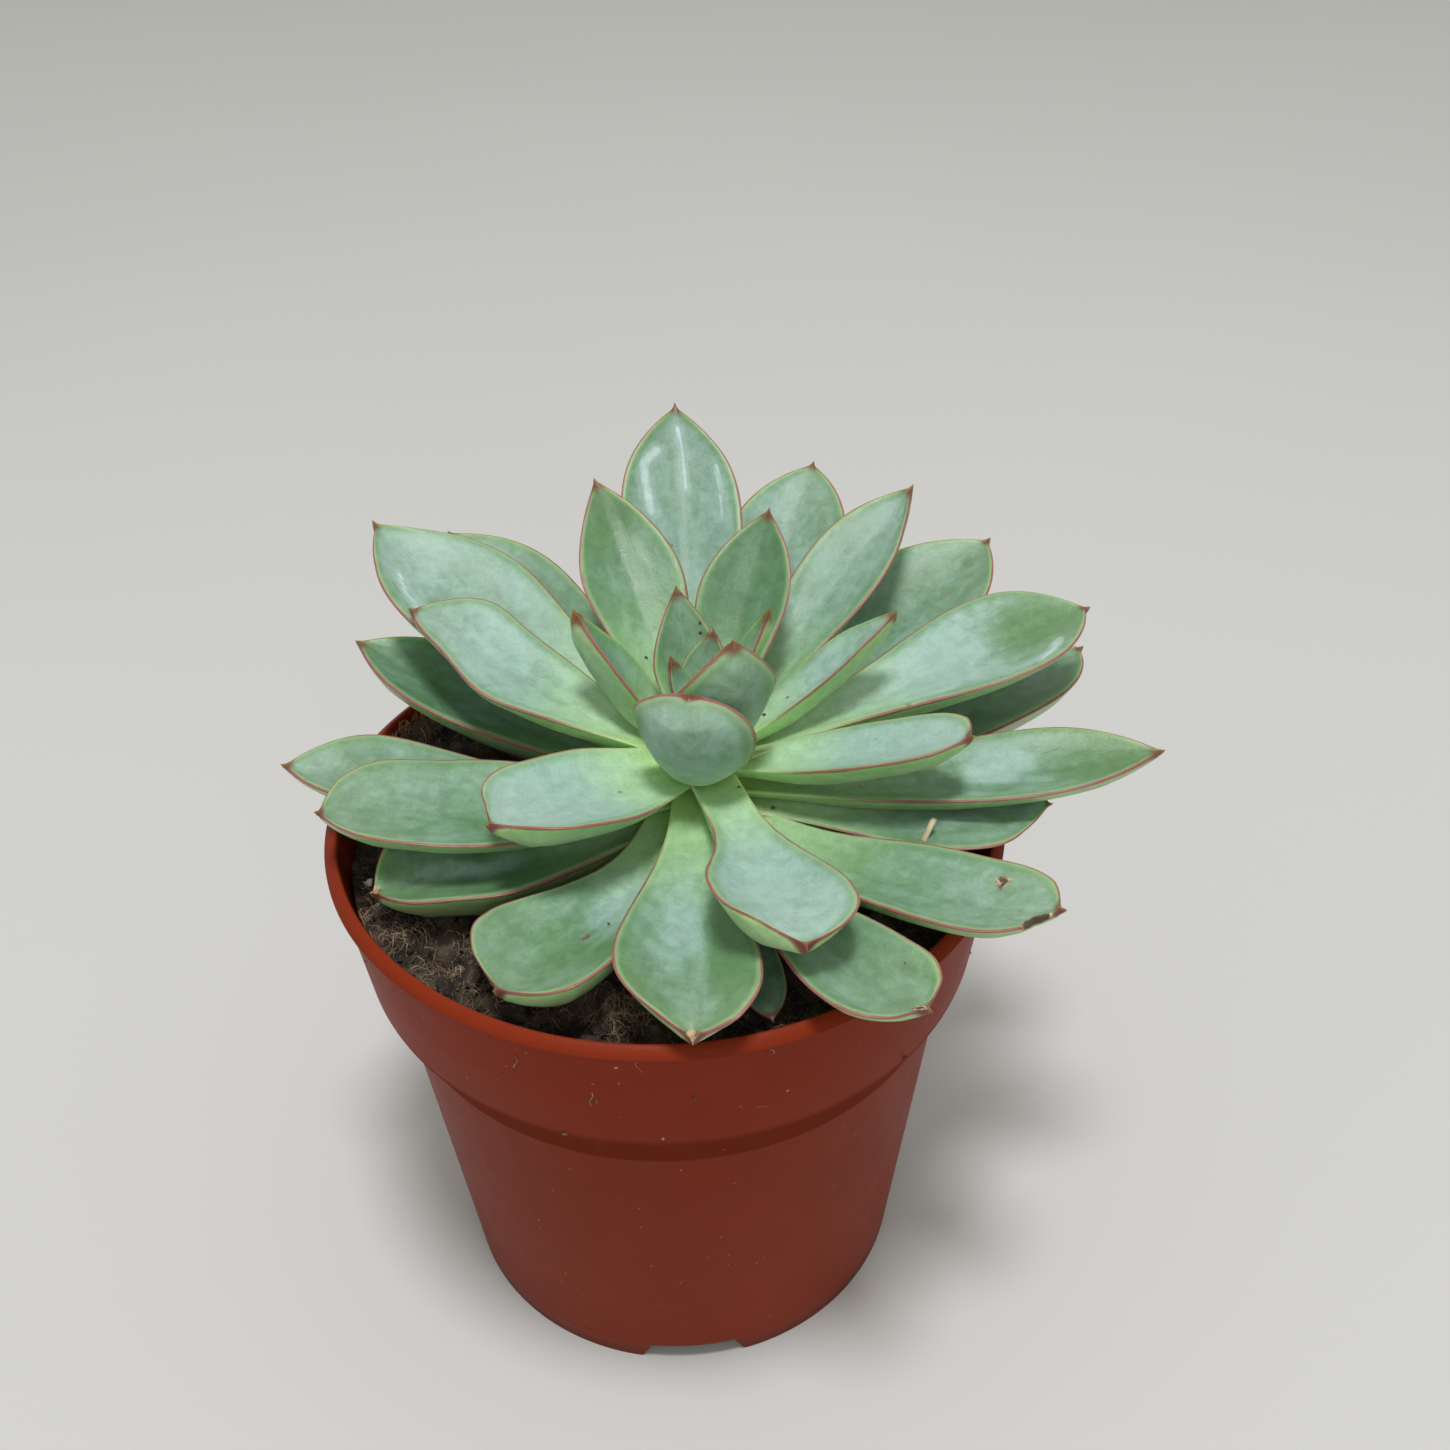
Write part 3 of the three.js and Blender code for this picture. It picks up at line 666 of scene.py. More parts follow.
def grow_leaf(name, slot, number, az, reach, tip_z, root_z, bend, width, outline, cup, roll=0, tip_roll=None,
              sweep=0, lean=0, ends=(0, 0), hook=0, thick=None, tone=0.5, deep=0.0, back=1.0, marks=(),
              streaks=(), bites=(), root_radius=LEAF_ROOT_RADIUS, stands_for=()):
    """A tube of rings, pressed into the leaf's section and laid along its midrib. In mm: lean moves the outer
    half sideways off its tip, ends moves its left-hand and right-hand corners towards the tip, and hook sinks
    the end, so that its horn turns up. tone runs from 0, green, to 1, full bloom; deep darkens the green;
    back is how yellow the underside is painted, partly its own colour and partly painted light. marks are
    (kind, t, s, length, width in mm), where kind is bloom, rub, scar or burn. streaks are lines of painted
    highlight, the lamp's glossy streaks (points, half width). bites are (t, side, half-length in t, depth in
    mm), and those deeper than a dent are torn."""
    rib = Midrib(az, reach, tip_z, root_z, bend, sweep, root_radius)
    thick = thick or THICKNESS_PER_WIDTH * width
    tip_roll = roll if tip_roll is None else tip_roll
    seed = Vector((number * 7.3, number * 1.9, 0))
    size = min(1, width / BROAD_LEAF)
    highlight_lines = [([Vector((s * half_width(width, outline, t, rib.length), t * rib.length)) for t, s in points],
              wide) for points, wide in streaks]
    bm = bmesh.new()
    blade = bm.verts.layers.float_color.new("blade")
    wear_and_highlight = bm.verts.layers.float_color.new("wear_and_highlight")
    bmesh.ops.create_cone(bm, cap_ends=True, segments=LEAF_SIDES, radius1=1, radius2=1, depth=1)
    bmesh.ops.subdivide_edges(bm, edges=long_edges(bm), cuts=LEAF_RINGS)
    skin_places = {}
    for v in bm.verts:
        around = math.atan2(v.co.y, v.co.x)
        s, upper = math.cos(around), math.sin(around) >= -1e-6
        u = v.co.z + 0.5
        t = u * (1.35 - 0.35 * u)
        to_tip = (1 - t) * rib.length

        half = half_width(width, outline, t, rib.length)
        wave = noise.noise(seed + Vector((t * 4, 2.0 if s > 0 else 7.0, 0)))
        half *= 1 + 0.04 * wave * abs(s) * clamp((1 - t) * 8) * clamp(t * 5)
        half, torn = bitten(bites, number, t, s, half)
        local_tone, scar, sunk = marked(marks, tone, upper, t, s, rib.length, half)
        # Painted highlight: the lamp's glossy streaks, added to the tone above 1
        highlight = painted_highlight_share(highlight_lines, Vector((s * half, t * rib.length))) if upper else 0.0

        rim = min(EDGE_THICKNESS, half * 0.8) * math.sqrt(max(1 - abs(s) ** 10, 0))
        height = cup * half * s * s * (1.28 - 0.28 * s ** 8)
        height += size * swelling(seed, t, s) - hook * hook_share(t)
        if upper:
            height += rim / 2 - size * groove(t, s) - sunk
        else:
            height -= rim / 2 + thick * thickness_share(t) * (1 - abs(s) ** 2.2)

        centre, left, above = rib.at(t)
        turn = math.radians(roll + (tip_roll - roll) * t)
        across = left * math.cos(turn) + above * math.sin(turn)
        above = above * math.cos(turn) - left * math.sin(turn)
        forward = across.cross(above).normalized()
        aside = s * half - lean * math.sin(math.pi * clamp((t - 0.55) / 0.45) ** 1.3) ** 2
        corner = (ends[0] if s > 0 else ends[1]) * abs(s) ** 1.5 * clamp(half / (0.3 * width))
        corner *= math.sin(math.pi / 2 * clamp((t - 0.4) / 0.4)) ** 2
        v.co = centre + across * aside + above * height + forward * corner

        # What the skin's colours follow, with the distances from the edge and the tip in centimetres; the
        # tone also carries the painted highlight
        edge = min(half * (1 - abs(s)), to_tip)
        v[blade] = (t, clamp(edge / 10 / size), 0.0 if upper else back, deep)
        v[wear_and_highlight] = (max(scar, 3 * torn), clamp(local_tone) + highlight, clamp(to_tip / 10), clamp(half / 12))
        skin_places[v] = (s * half / 100 + (0 if upper else 0.5), t * rib.length / 100 + number * 0.37)
    skin = bm.loops.layers.uv.new("skin")
    for face in bm.faces:
        for loop in face.loops:
            loop[skin].uv = skin_places[loop.vert]
    bmesh.ops.recalc_face_normals(bm, faces=bm.faces)
    return to_piece(bm, name, slot, stands_for)


# Waxy skin: grey-blue bloom in patches over green skin, rubbed along the blade; paler and yellower towards
# the root, partly the leaf's own colour and partly painted light, with a painted glow of light through the
# crowded leaf bases; an underside painted paler, partly painted light; painted highlights of the lamp as
# glossy streaks on three leaves; a red edge line inside a pale rim; a dark red horn; dry brown scars.
GREEN_SKIN = (0.09, 0.2, 0.085, 1)
DEEP_GREEN = (0.045, 0.13, 0.06, 1)
BLUE_BLOOM = (0.26, 0.39, 0.345, 1)
PAINTED_HIGHLIGHT = (0.56, 0.68, 0.7, 1)
ROOT_GREEN_AND_PAINTED_LIGHT = (0.38, 0.6, 0.3, 1)
PAINTED_BASE_GLOW = (0.36, 0.58, 0.14, 1)
UNDERSIDE_GREEN_AND_PAINTED_LIGHT = (0.46, 0.64, 0.29, 1)
TIP_OLIVE = (0.38, 0.33, 0.22, 1)
RIM_PALE = (0.42, 0.5, 0.3, 1)
EDGE_RED = (0.22, 0.05, 0.07, 1)
HORN_RED = (0.13, 0.03, 0.02, 1)
SCAR_BROWN = (0.13, 0.07, 0.04, 1)
SCAR_TAN = (0.45, 0.33, 0.2, 1)
BURN_BROWN = (0.07, 0.04, 0.028, 1)
DIRT = (0.05, 0.05, 0.03, 1)
waxy_skin, tree, shader, where = new_material("waxy_skin")
lie = add(tree, "ShaderNodeUVMap", uv_map="skin").outputs["UV"]
blade = add(tree, "ShaderNodeAttribute", attribute_name="blade").outputs
wear_and_highlight = add(tree, "ShaderNodeAttribute", attribute_name="wear_and_highlight").outputs
along, edge, under = split(tree, blade["Color"])[:3]
# tone carries the bloom and, above 1, the painted highlight streaks
scar, tone, from_tip = split(tree, wear_and_highlight["Color"])[:3]
deep, breadth = blade["Alpha"], wear_and_highlight["Alpha"]

# Patterns: broad patches, streaks along the blade, a fine mottle and the pores
stretched = add(tree, "ShaderNodeMapping", {"Vector": lie, "Scale": (1.0, 0.35, 1.0)}).outputs["Vector"]
patches = cloud(tree, where, 75.0, 3.0, 0.5, 0.5)
streaks = cloud(tree, stretched, 30.0, 4.0, 0.6, 0.8)
mottle = cloud(tree, where, 520.0, 4.0, 0.6, 0.4)
pores = cloud(tree, where, 3200.0, 3.0, 0.6)


def unevenness(tree, pattern, by):
    """A pattern's swing about its middle, at this strength."""
    return times(tree, maths(tree, "SUBTRACT", pattern, 0.5), by)


# Bloom over the green, thin at the edge and on the underside
bloom = plus(tree, times(tree, patches, 0.5), times(tree, streaks, 0.4))
bloom = plus(tree, plus(tree, bloom, times(tree, tone, 0.62)), times(tree, mottle, 0.16))
bloom = times(tree, ease(tree, bloom, 0.5, 1.08), ease(tree, edge, 0.03, 0.25, 0.2, 1.0))
bloom = times(tree, bloom, ease(tree, under, 0.2, 0.8, 1.0, 0.6))
colour = tint(tree, bloom, GREEN_SKIN, BLUE_BLOOM)
# Paler, yellower root: partly the leaf's own colour, partly painted light in the crowded heart
colour = tint(tree, ease(tree, along, 0.62, 0.1, 0.0, 0.8), colour, ROOT_GREEN_AND_PAINTED_LIGHT)
colour = tint(tree, ease(tree, along, 0.6, 0.95, 0.0, 0.08), colour, TIP_OLIVE)
colour = tint(tree, deep, colour, DEEP_GREEN)
# Painted highlight: the lamp's glossy streaks on three leaves, where the tone goes above 1
colour = tint(tree, times(tree, ease(tree, tone, 1.1, 1.9), 0.75), colour, PAINTED_HIGHLIGHT)
# Underside paler and yellower: partly its own colour, partly painted light on a face turned from the lamp
colour = tint(tree, ease(tree, under, 0.2, 0.8, 0.0, 0.5), colour, UNDERSIDE_GREEN_AND_PAINTED_LIGHT)
# Painted glow: light through the crowded leaf bases, as saturated yellow-green at the root
colour = tint(tree, ease(tree, along, 0.22, 0.05, 0.0, 0.65), colour, PAINTED_BASE_GLOW)
shade = ease(tree, plus(tree, mottle, times(tree, pores, 0.6)), 0.5, 1.1, 0.86, 1.12)
grey = add(tree, "ShaderNodeCombineColor", {0: shade, 1: shade, 2: shade}).outputs[0]
colour = tint(tree, 1.0, colour, grey, "MULTIPLY")

# The pale rim, the red line in it and the horn
wander = unevenness(tree, cloud(tree, where, 350.0, 3.0), 0.035)
line = plus(tree, plus(tree, edge, wander), times(tree, under, 0.016))
colour = tint(tree, ease(tree, line, 0.03, 0.13, 0.35, 0.0), colour, RIM_PALE)
red = times(tree, ease(tree, line, 0.02, 0.054, 1.0, 0.0), ease(tree, along, 0.15, 0.45, 0.0, 0.92))
colour = tint(tree, red, colour, EDGE_RED)
near_tip = ease(tree, plus(tree, from_tip, unevenness(tree, mottle, 0.2)), 0.12, 0.34, 0.92, 0.0)
horn = times(tree, near_tip, ease(tree, breadth, 0.07, 0.2, 1.0, 0.0))
colour = tint(tree, horn, colour, HORN_RED)

# Dry scars with a crusty outline, burnt black-brown where they are deep, and specks of dirt
crust = ease(tree, plus(tree, scar, unevenness(tree, pores, 0.7)), 0.3, 0.6)
dry = tint(tree, ease(tree, mottle, 0.4, 0.6), SCAR_BROWN, SCAR_TAN)
dry = tint(tree, ease(tree, scar, 1.1, 1.7), dry, BURN_BROWN)
colour = tint(tree, crust, colour, dry)
colour = tint(tree, times(tree, stuck_specks(tree, 420.0, 0.006), 0.5), colour, DIRT)
tree.links.new(colour, shader.inputs["Base Color"])

gloss = plus(tree, ease(tree, bloom, 0.0, 1.0, 0.42, 0.5), ease(tree, mottle, 0.35, 0.7, -0.04, 0.06))
tree.links.new(plus(tree, gloss, times(tree, crust, 0.3)), shader.inputs["Roughness"])
relief = plus(tree, times(tree, mottle, 0.7), times(tree, pores, 0.3))
relief = plus(tree, relief, times(tree, streaks, 1.2))
emboss(tree, shader, maths(tree, "SUBTRACT", relief, times(tree, crust, 0.8)), 0.22, 0.0005)
shader.inputs["Subsurface Weight"].default_value = 0.45
shader.inputs["Subsurface Radius"].default_value = (0.4, 1.0, 0.12)
shader.inputs["Subsurface Scale"].default_value = 0.005
shader.inputs["IOR"].default_value = 1.45

# The painted highlights on three leaves, glossy streaks of the lamp, each a line of points (t, s) and its
# half width
BACK_LEAF_HIGHLIGHTS = [([(0.865, 0.5), (0.826, 0.7), (0.777, 0.62), (0.688, 0.5)], 1.0),
                     ([(0.93, -0.04), (0.867, -0.13), (0.76, -0.11)], 0.5),
                     ([(0.818, -0.72), (0.735, -0.7), (0.66, -0.62)], 0.5)]
LEFT_LEAF_HIGHLIGHTS = [([(0.84, 0.4), (0.79, 0.56), (0.72, 0.66), (0.62, 0.74), (0.56, 0.76)], 0.7)]
RIGHT_LEAF_HIGHLIGHTS = [([(0.86, -0.62), (0.83, -0.74), (0.79, -0.82)], 0.7)]

# From the innermost leaf to the lowest and oldest. az is the compass angle seen from above, 0 along +X;
# reach and tip_z place the tip, root_z the root; bend curves the blade upwards and sweep sideways; roll turns
# it about its midrib, and tip_roll is the turn at its tip; cup raises its edges; thick is its greatest depth.
LEAVES = [
    dict(az=-93, reach=13.4, tip_z=122.2, root_z=101.5, bend=50, width=18, outline="bud", cup=0.14, roll=-12,
         thick=3.8, tone=0.6, back=0.3),
    dict(az=-62, reach=11.2, tip_z=128.6, root_z=104, bend=44, width=17, outline="gable", cup=0.34, roll=-6,
         thick=2.4, tone=0.4, back=0.3),
    dict(az=160, reach=19, tip_z=123.5, root_z=102, bend=30, width=10.5, outline="heart", cup=0.5, roll=20,
         thick=2.2, tone=0.45, back=0.5),
    dict(az=15.5, reach=31, tip_z=121, root_z=101, bend=20, width=7.8, outline="bud", cup=0.5, roll=-6,
         lean=-0.3, ends=(-2.4, 0), thick=2.2, tone=0.7),
    dict(az=67, reach=29.4, tip_z=128.3, root_z=103, bend=15, width=14.6, outline="young", cup=0.3, hook=0.5,
         tone=0.1, deep=0.4),
    dict(az=114.5, reach=38.4, tip_z=129.8, root_z=102, bend=15, width=16, outline="young", cup=0.3,
         ends=(-0.9, 0), tone=0.2),
    dict(az=-15, reach=41, tip_z=111.7, root_z=100, bend=10, width=11.8, outline="strap", cup=0.3, roll=-1,
         sweep=8, ends=(2.2, 0), thick=3.2, tone=0.85),
    dict(az=-140, reach=38, tip_z=108.4, root_z=100.5, bend=0, width=19, outline="strap", cup=0.3, roll=-13,
         tip_roll=6, sweep=-18, ends=(-0.5, 1.2), thick=4, tone=0.9, marks=[("rub", 0.3, 0.0, 4, 2)],
         bites=[(0.945, -1, 0.045, 1.9)]),
    dict(az=-73, reach=48, tip_z=104.5, root_z=100, bend=0, width=18.8, outline="spoon", cup=0.3, roll=-6,
         sweep=1, lean=0.2, ends=(1, -3.4), hook=-0.4, thick=5.8, tone=0.8),
    dict(az=158, reach=48, tip_z=117, root_z=102, bend=10, width=17.6, outline="pointed", cup=0.18, sweep=-17,
         lean=2.4, ends=(-1.5, 1.2), thick=4.2, tone=0.65),
    dict(az=48.8, reach=53.6, tip_z=124.6, root_z=100, bend=20, width=14.6, outline="pointed", cup=0.3,
         sweep=-12, ends=(0, -2.2), hook=0.6, tone=0.5, deep=0.15),
    dict(az=93.4, reach=56, tip_z=132.4, root_z=99, bend=25, width=19.8, outline="pointed", cup=0.3,
         ends=(0, -0.8), hook=0.3, tone=0.6, deep=0.2, marks=[("bloom", 0.35, 0, 12, 6)],
         streaks=BACK_LEAF_HIGHLIGHTS),
    dict(az=143, reach=66.4, tip_z=120.2, root_z=98, bend=15, width=23.4, outline="pointed", cup=0.3,
         sweep=-5, lean=-0.3, ends=(-1.2, -1.2), hook=0.9, tone=0.6, streaks=LEFT_LEAF_HIGHLIGHTS),
    dict(az=17, reach=64, tip_z=114.3, root_z=100, bend=-2, width=21.4, outline="paddle", cup=0.2, sweep=8,
         thick=4.6, tone=0.55, streaks=RIGHT_LEAF_HIGHLIGHTS,
         marks=[("rub", 0.86, 0, 12, 7), ("bloom", 0.5, 0, 14, 6)]),
    dict(az=130.5, reach=66, tip_z=112, root_z=96, bend=10, width=20.5, outline="pointed", cup=0.3, sweep=-3,
         tone=0.4, deep=0.1),
    dict(az=71, reach=62.3, tip_z=119.4, root_z=97, bend=20, width=20.4, outline="pointed", cup=0.3),
    dict(az=41, reach=65, tip_z=113, root_z=97, bend=20, width=23, outline="pointed", cup=0.3, tone=0.35),
    dict(az=-4, reach=69.3, tip_z=104, root_z=96.3, bend=14, width=15.2, outline="pointed", cup=0.3, roll=4,
         sweep=10, thick=3.6, tone=0.4, marks=[("bloom", 0.62, 0.2, 5, 4), ("rub", 0.85, 0.0, 9, 5)]),
    dict(az=22.5, reach=68, tip_z=102, root_z=94, bend=20, width=19, outline="oblong", cup=0.3, sweep=15,
         tone=0.3),
    dict(az=155, reach=61.3, tip_z=106, root_z=95, bend=20, width=16.6, outline="pointed", cup=0.3, tone=0.35,
         deep=0.4),
    dict(az=-168, reach=57.4, tip_z=101.2, root_z=95, bend=5, width=20.8, outline="strap", cup=0.25,
         sweep=-22, lean=0.8, ends=(-0.8, 1.6), thick=4.1, tone=0.3),
    dict(az=179, reach=63.8, tip_z=100, root_z=93, bend=5, width=16.2, outline="paddle", cup=0.25, sweep=-12,
         lean=0.4, thick=4, tone=0.4),
    dict(az=-124, reach=50, tip_z=93.5, root_z=94.4, bend=0, width=22.4, outline="spoon", cup=0.3, roll=7,
         sweep=-40, ends=(0, 1.2), thick=6.8, tone=0.2,
         marks=[("scar", 0.675, 0.11, 0.9, 0.7), ("bloom", 0.5, 0.3, 8, 5)]),
    dict(az=-91, reach=52.8, tip_z=94.6, root_z=97.6, bend=0, width=20, outline="paddle", cup=0.28, sweep=11,
         ends=(3, -0.7), hook=-1.4, thick=7, tone=0.25,
         marks=[("bloom", 0.52, -0.1, 11, 6), ("rub", 0.62, 0.65, 13, 4), ("scar", 0.985, 0, 1.3, 1)]),
    dict(az=-58.7, reach=58, tip_z=96.5, root_z=95, bend=0, width=16.2, outline="spoon", cup=0.25, sweep=42,
         lean=0.6, ends=(1.4, 0.4), thick=4.4, tone=0.3,
         marks=[("burn", 0.972, -0.35, 0.8, 0.6)], bites=[(0.965, -1, 0.016, 1.0)]),
    dict(az=-33.8, reach=60.2, tip_z=99, root_z=93, bend=5, width=16.2, outline="oblong", cup=0.25, sweep=37,
         lean=0.9, ends=(2, 0.5), thick=4, tone=0.3,
         marks=[("burn", 0.82, 0.6, 1.2, 0.4), ("burn", 0.825, 0.5, 0.5, 0.8)],
         bites=[(0.935, -1, 0.03, 2.4)]),
    dict(az=-158, reach=52, tip_z=92, root_z=91, bend=0, width=18.6, outline="oblong", cup=0.35, roll=-3,
         sweep=-20, lean=1.2, ends=(-1, 1), thick=6.6, tone=0.15,
         marks=[("bloom", 0.72, 0, 9, 2.5), ("scar", 0.985, 0, 1.3, 1)]),
    dict(az=-7.6, reach=53.4, tip_z=96, root_z=94, bend=0, width=21, outline="oblong", cup=0.25, roll=12,
         sweep=14, ends=(0, -1.6), thick=3.4, tone=0.35),
    dict(az=112, reach=52, tip_z=99, root_z=93, bend=8, width=18, outline="pointed", cup=0.25),
    dict(az=82, reach=55, tip_z=98, root_z=93, bend=8, width=18, outline="pointed", cup=0.25),
    dict(az=52, reach=55, tip_z=97, root_z=92, bend=8, width=18, outline="pointed", cup=0.25),
    dict(az=-76.5, reach=42.3, tip_z=86, root_z=90, bend=0, width=7.6, outline="oblong", cup=0.2, thick=2.6,
         tone=0.3),
]
YOUNG_LEAVES = 6
OLD_LEAVES_FROM = 22
for number, shape in enumerate(LEAVES, 1):
    node = f"leaf_{number:02d}"
    slot = "young_leaf" if number <= YOUNG_LEAVES else "leaf" if number < OLD_LEAVES_FROM else "old_leaf"
    leaf = grow_leaf(f"{node}_blade", slot, number, stands_for=[node], **shape)
    leaf.data.materials.append(waxy_skin)


# The dirt: crumbs of peat that fell on the leaves and stuck to the pot when it was filled, fine hairs of root
# on the pot, two grains of white perlite, and one dry straw that stands in the peat behind a leaf. Places are
# (x, y, z) on the leaves, (x, y, lift) on the peat and (compass angle, height) on the pot, and then the size.
CRUMBS_ON_LEAVES = (
    (6.06, 7.69, 118.73, 0.35), (6.03, 7.08, 117.35, 0.4), (19.27, 3.19, 107.82, 0.4),
    (15.04, -12.2, 115.99, 0.3), (11.38, -10.47, 101.51, 0.4), (16.5, -7.19, 94.89, 0.4),
    (-2.48, 11.1, 110.28, 0.35), (32.8, -43.5, 97.5, 0.3), (-7.2, -32.5, 95.4, 0.25),
)
CRUMBS_ON_POT = (
    (-85, 79.3, 0.6), (-87.2, 73.6, 0.35), (-100.4, 78, 0.55), (-96.9, 74.7, 0.35), (-102.1, 64, 0.35),
    (-107, 68.3, 0.4), (-79.9, 63.1, 0.35), (-44.6, 69, 0.55), (-116.5, 79, 0.35), (40, 75, 0.5),
    (75, 81, 0.4), (128, 77, 0.5), (160, 70, 0.35), (-150, 82, 0.4), (5, 80, 0.4), (-20, 73, 0.35),
)
PALE_CRUMBS_ON_POT = (
    (-70, 76.8, 0.3), (-90.4, 69.8, 0.3), (-96.5, 82.8, 0.25), (-96.7, 86.4, 0.3), (100, 84, 0.3),
)
HAIRS_ON_POT = (
    ((-112.9, 84.8), (-113.3, 81.9)), ((-101.3, 79.9), (-101.2, 76.6)), ((-75.3, 75), (-73.6, 74.4)),
    ((-93.4, 88.2), (-93.2, 85.6)), ((-73.3, 88.2), (-73.0, 86.4)), ((60, 84), (62, 81)),
    ((150, 86), (151, 82)),
)
HAIR_RADIUS = 0.07
PERLITE_ON_PEAT = ((-45.0, -11.7, 0.6, 1.0), (-43.2, -16.0, 0.3, 0.6))
STRAW_TOP = Vector((39.7, -15.0, 98.3))
STRAW_FOOT = Vector((30.0, -17.0, 84.0))
STRAW_BOW = Vector((0.5, -2.5, 0.0))
STRAW_RADIUS = 0.6


def on_wall(degrees, z, off=0.0):
    """A place on the pot's outer wall, or off it by this much."""
    around = math.radians(degrees)
    return Vector(((wall_radius(z) + off) * math.cos(around), (wall_radius(z) + off) * math.sin(around), z))


def stick(bm, place, size, number):
    """Adds one ragged flattened lump, whose form follows from its number."""
    long, wide = 0.6 + 0.5 * chance.random(), 0.5 + 0.3 * chance.random()
    seed = Vector((number * 2.7, 0, 0))
    gather(bm, lump_mesh, lambda p: place + size * Vector((p.x * long, p.y * wide, p.z * 0.6))
           * (1 + 0.9 * noise.noise(p * 1.6 + seed)))


stray = bmesh.new()
for i, (x, y, z, size) in enumerate(CRUMBS_ON_LEAVES):
    stick(stray, Vector((x, y, z - 0.1)), size, i)
for i, (degrees, z, size) in enumerate(CRUMBS_ON_POT, 20):
    stick(stray, on_wall(degrees, z, -0.1), size, i)
to_piece(stray, "stray_crumbs", "peat").data.materials.append(brown_fibre)

pale_stray = bmesh.new()
for i, (degrees, z, size) in enumerate(PALE_CRUMBS_ON_POT, 50):
    stick(pale_stray, on_wall(degrees, z), size, i)
for i, (first, last) in enumerate(HAIRS_ON_POT):
    def along_wall(p):
        t = p.z + 0.5
        turn = first[0] + (last[0] - first[0]) * t + 0.35 * math.sin(t * 5 + i)
        return on_wall(turn, first[1] + (last[1] - first[1]) * t, 0.08) + HAIR_RADIUS * Vector((p.x, p.y, 0))

    gather(pale_stray, strand_mesh, along_wall)
to_piece(pale_stray, "stray_hairs", "peat").data.materials.append(dry_fibre)

perlite = bmesh.new()
for i, (x, y, lift, size) in enumerate(PERLITE_ON_PEAT, 3):
    stick(perlite, Vector((x, y, peat_surface(x, y) + lift)), size, i)
DUSTY_WHITE = (0.42, 0.4, 0.35, 1)
STONE_WHITE = (0.75, 0.73, 0.68, 1)
white_stone = two_tone("perlite", DUSTY_WHITE, STONE_WHITE, patches=900.0, roughness=0.9, grain=2500.0,
                       strength=0.6, depth=0.0002)
to_piece(perlite, "perlite_grains", "peat").data.materials.append(white_stone)


def bowed_straw(p):
    """Lays the pattern strand out as the straw, bowed towards the viewer and narrower at its top."""
    t = p.z + 0.5
    thick = STRAW_RADIUS * Vector((p.x * (1 - 0.3 * p.z), p.y, 0))
    return STRAW_FOOT.lerp(STRAW_TOP, t) + thick + math.sin(math.pi * t) * STRAW_BOW


straw = bmesh.new()
gather(straw, strand_mesh, bowed_straw)
DARK_STRAW = (0.3, 0.24, 0.14, 1)
PALE_STRAW = (0.6, 0.52, 0.36, 1)
hay = two_tone("dry_straw", DARK_STRAW, PALE_STRAW, patches=700.0, roughness=0.6, grain=3000.0,
               strength=0.4, depth=0.0002)
to_piece(straw, "dry_straw", "peat").data.materials.append(hay)


# The stem and the heart: a short green stem that stands in the peat, and on its tip four tiny new leaves.
STEM_RADIUS = 5.0
STEM_LEVELS = (70, 76, 83, 90, 97)
STEM_TIP = ((4.2, 101), (2.6, 108), (1.4, 109.1), (0, 109.5))
STEM_SIDES = 40
STEM_ROUGHNESS = 0.05
stem = spun([(0, STEM_LEVELS[0]), *((STEM_RADIUS, z) for z in STEM_LEVELS), *STEM_TIP], STEM_SIDES)
bmesh.ops.subdivide_edges(stem, edges=stem.edges, cuts=2, use_grid_fill=True)
for v in stem.verts:
    v.co.xy *= 1 + STEM_ROUGHNESS * noise.noise(Vector((v.co.x / 1.5, v.co.y / 1.5, v.co.z / 2)))
bmesh.ops.translate(stem, vec=STEM_AXIS, verts=stem.verts)
stem_piece = to_piece(stem, "stem", "heart_leaf", ["stem_with_heart"])

DARK_BARK = (0.16, 0.11, 0.06, 1)
PALE_BARK = (0.3, 0.24, 0.13, 1)
YOUNG_STEM = (0.3, 0.44, 0.16, 1)
stem_skin, tree, shader, where = new_material("stem_skin")
bark = tint(tree, ease(tree, cloud(tree, where, 500.0), 0.4, 0.6), DARK_BARK, PALE_BARK)
green_above = ease(tree, height_above_table(tree, where), 0.09, 0.1)
tree.links.new(tint(tree, green_above, bark, YOUNG_STEM), shader.inputs["Base Color"])
shader.inputs["Roughness"].default_value = 0.6
emboss(tree, shader, cloud(tree, where, 900.0), 0.5, 0.0004)
stem_piece.data.materials.append(stem_skin)

HEART_LEAVES = [
    dict(az=127, reach=6.5, tip_z=116, root_z=107, bend=10, width=4, cup=0.3, tone=0.4),
    dict(az=74, reach=9, tip_z=118.5, root_z=107, bend=10, width=8, cup=0.3, tone=0.2),
    dict(az=20, reach=11.6, tip_z=124.8, root_z=106, bend=10, width=5.6, cup=0.3, tone=0.2),
    dict(az=103, reach=13, tip_z=123.5, root_z=105, bend=15, width=10.5, cup=0.3, tone=0.3),
]
FIRST_HEART_NUMBER = 40
for i, shape in enumerate(HEART_LEAVES):
    tiny = grow_leaf(f"heart_leaf_{i + 1}", "heart_leaf", FIRST_HEART_NUMBER + i, outline="heart",
                     root_radius=HEART_ROOT_RADIUS, stands_for=["stem_with_heart"], **shape)
    tiny.data.materials.append(waxy_skin)


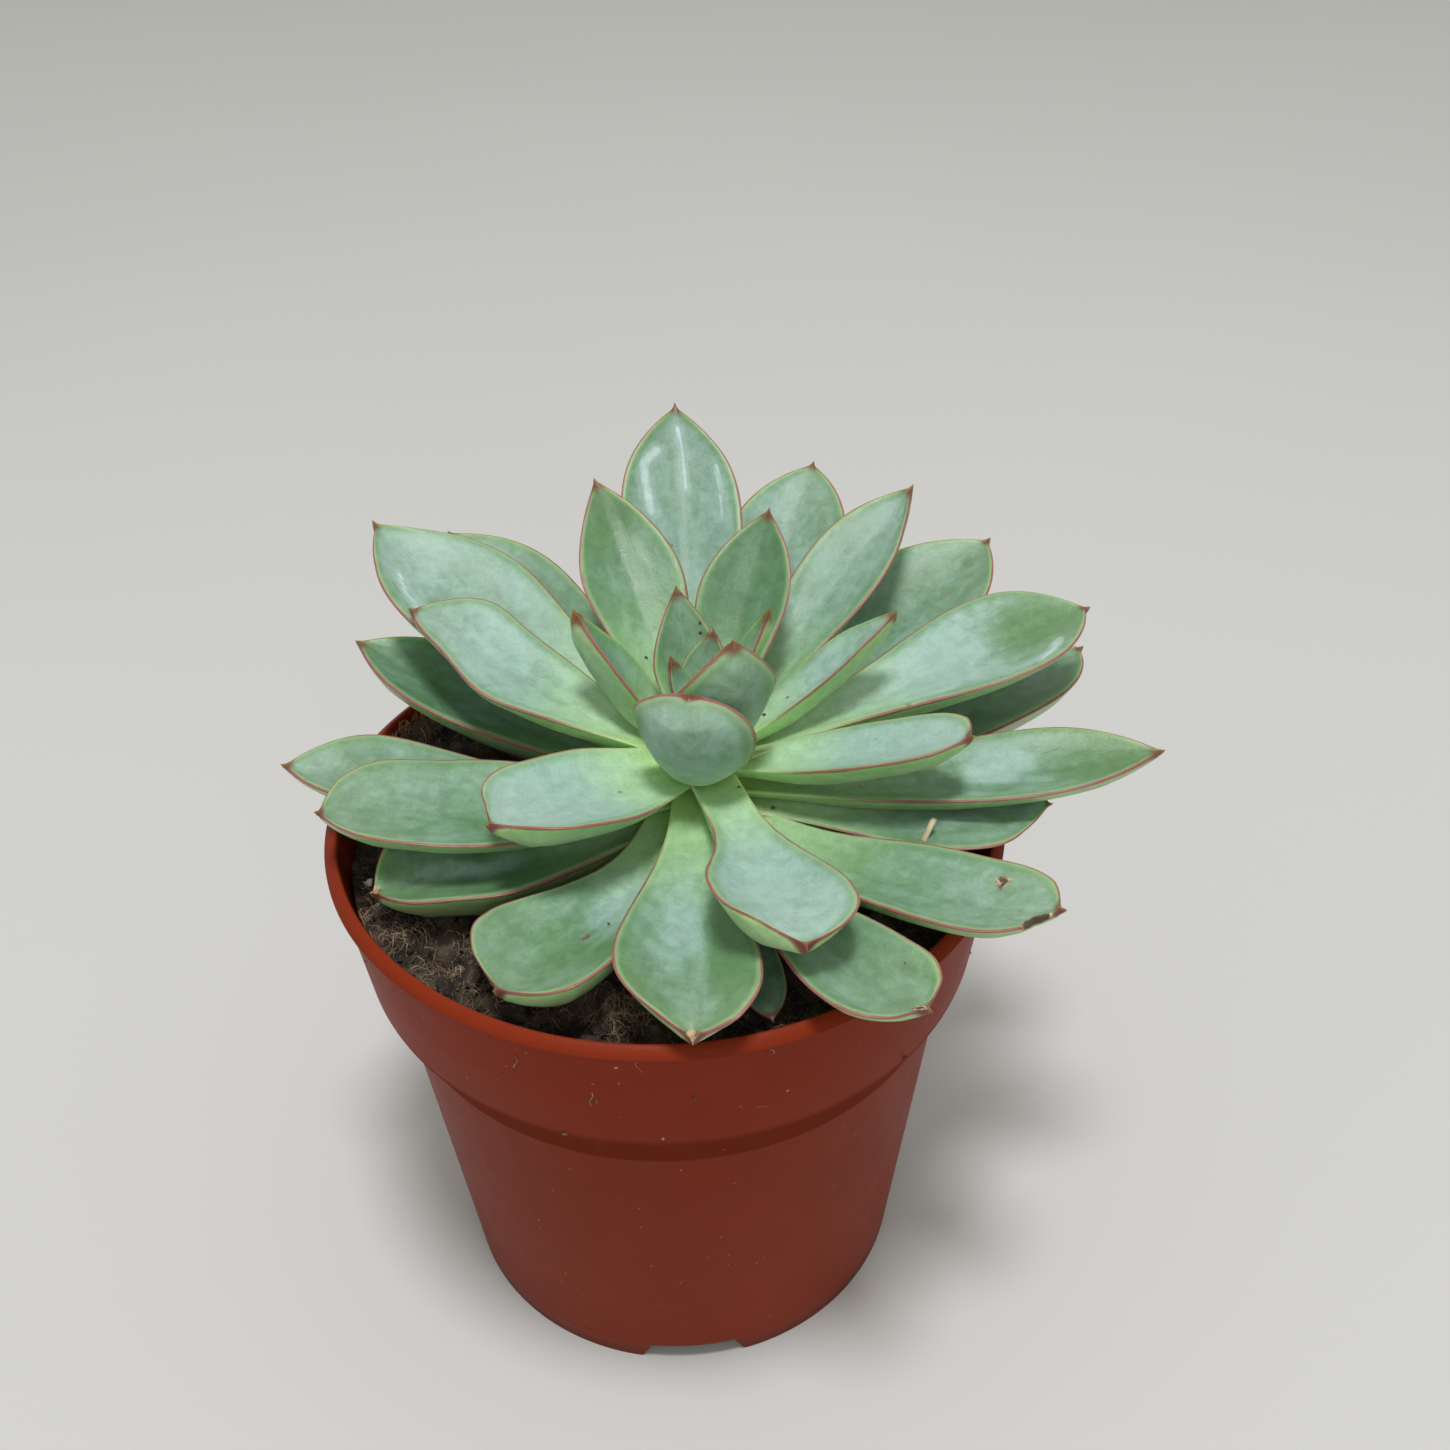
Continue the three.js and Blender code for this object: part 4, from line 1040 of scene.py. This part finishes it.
# The studio: a plain floor of pale paper, a soft lamp almost overhead, a weak wide one behind the viewer, and
# white surroundings. The camera stands where the picture was taken from.
FLOOR_HALF_WIDTH = 4.0
PAPER_DARK = (0.46, 0.46, 0.46, 1)
PAPER_PALE = (0.5, 0.5, 0.5, 1)
ROOM_WHITE = (1.0, 0.985, 0.9, 1)
floor_mesh = bmesh.new()
bmesh.ops.create_grid(floor_mesh, x_segments=1, y_segments=1, size=FLOOR_HALF_WIDTH)
floor = bpy.data.objects.new("floor", stored(floor_mesh, "floor"))
bpy.context.scene.collection.objects.link(floor)
paper, tree, shader, where = new_material("pale_paper")
tree.links.new(tint(tree, cloud(tree, where, 3.0), PAPER_DARK, PAPER_PALE), shader.inputs["Base Color"])
shader.inputs["Roughness"].default_value = 0.9
floor.data.materials.append(paper)

world = bpy.data.worlds.new("white_room")
world.use_nodes = True
world.node_tree.nodes["Background"].inputs["Color"].default_value = ROOM_WHITE
world.node_tree.nodes["Background"].inputs["Strength"].default_value = 0.6
bpy.context.scene.world = world

LAMP_TARGET = Vector((0, 0, 0.1))


def hang_lamp(name, place, size, watts):
    """A round soft lamp that shines on the plant."""
    light = bpy.data.lights.new(name, "AREA")
    light.shape = "DISK"
    light.size = size
    light.energy = watts
    lamp = bpy.data.objects.new(name, light)
    lamp.location = place
    lamp.rotation_euler = (LAMP_TARGET - Vector(place)).to_track_quat("-Z", "Y").to_euler()
    bpy.context.scene.collection.objects.link(lamp)


hang_lamp("overhead_lamp", (0.0, -0.27, 1.3), 0.26, 13.0)
hang_lamp("window", (0.1, -1.3, 1.0), 0.9, 3.5)
bpy.context.scene.view_settings.view_transform = "Standard"

CAMERA_FROM_POT = Vector((0.009497, -0.20597, 0.25773))
CAMERA_TILT = math.radians(36.53)
CAMERA_ROLL = -0.0198
FOCAL_PIXELS = 1699.7
PICTURE_PIXELS = 1450
SENSOR_WIDTH = 36.0
eye = bpy.data.cameras.new("viewer")
eye.sensor_width = SENSOR_WIDTH
eye.lens = SENSOR_WIDTH * FOCAL_PIXELS / PICTURE_PIXELS
eye.clip_start = 0.01
viewer = bpy.data.objects.new("viewer", eye)
ahead = Vector((0, math.cos(CAMERA_TILT), -math.sin(CAMERA_TILT)))
level = Vector((1, 0, 0))
upward = level.cross(ahead)
right = level * math.cos(CAMERA_ROLL) + upward * math.sin(CAMERA_ROLL)
top = upward * math.cos(CAMERA_ROLL) - level * math.sin(CAMERA_ROLL)
viewer.matrix_world = (Matrix.Translation(CAMERA_FROM_POT + POT_AXIS * 0.001)
                       @ Matrix((right, top, -ahead)).transposed().to_4x4())
bpy.context.scene.collection.objects.link(viewer)
bpy.context.scene.camera = viewer
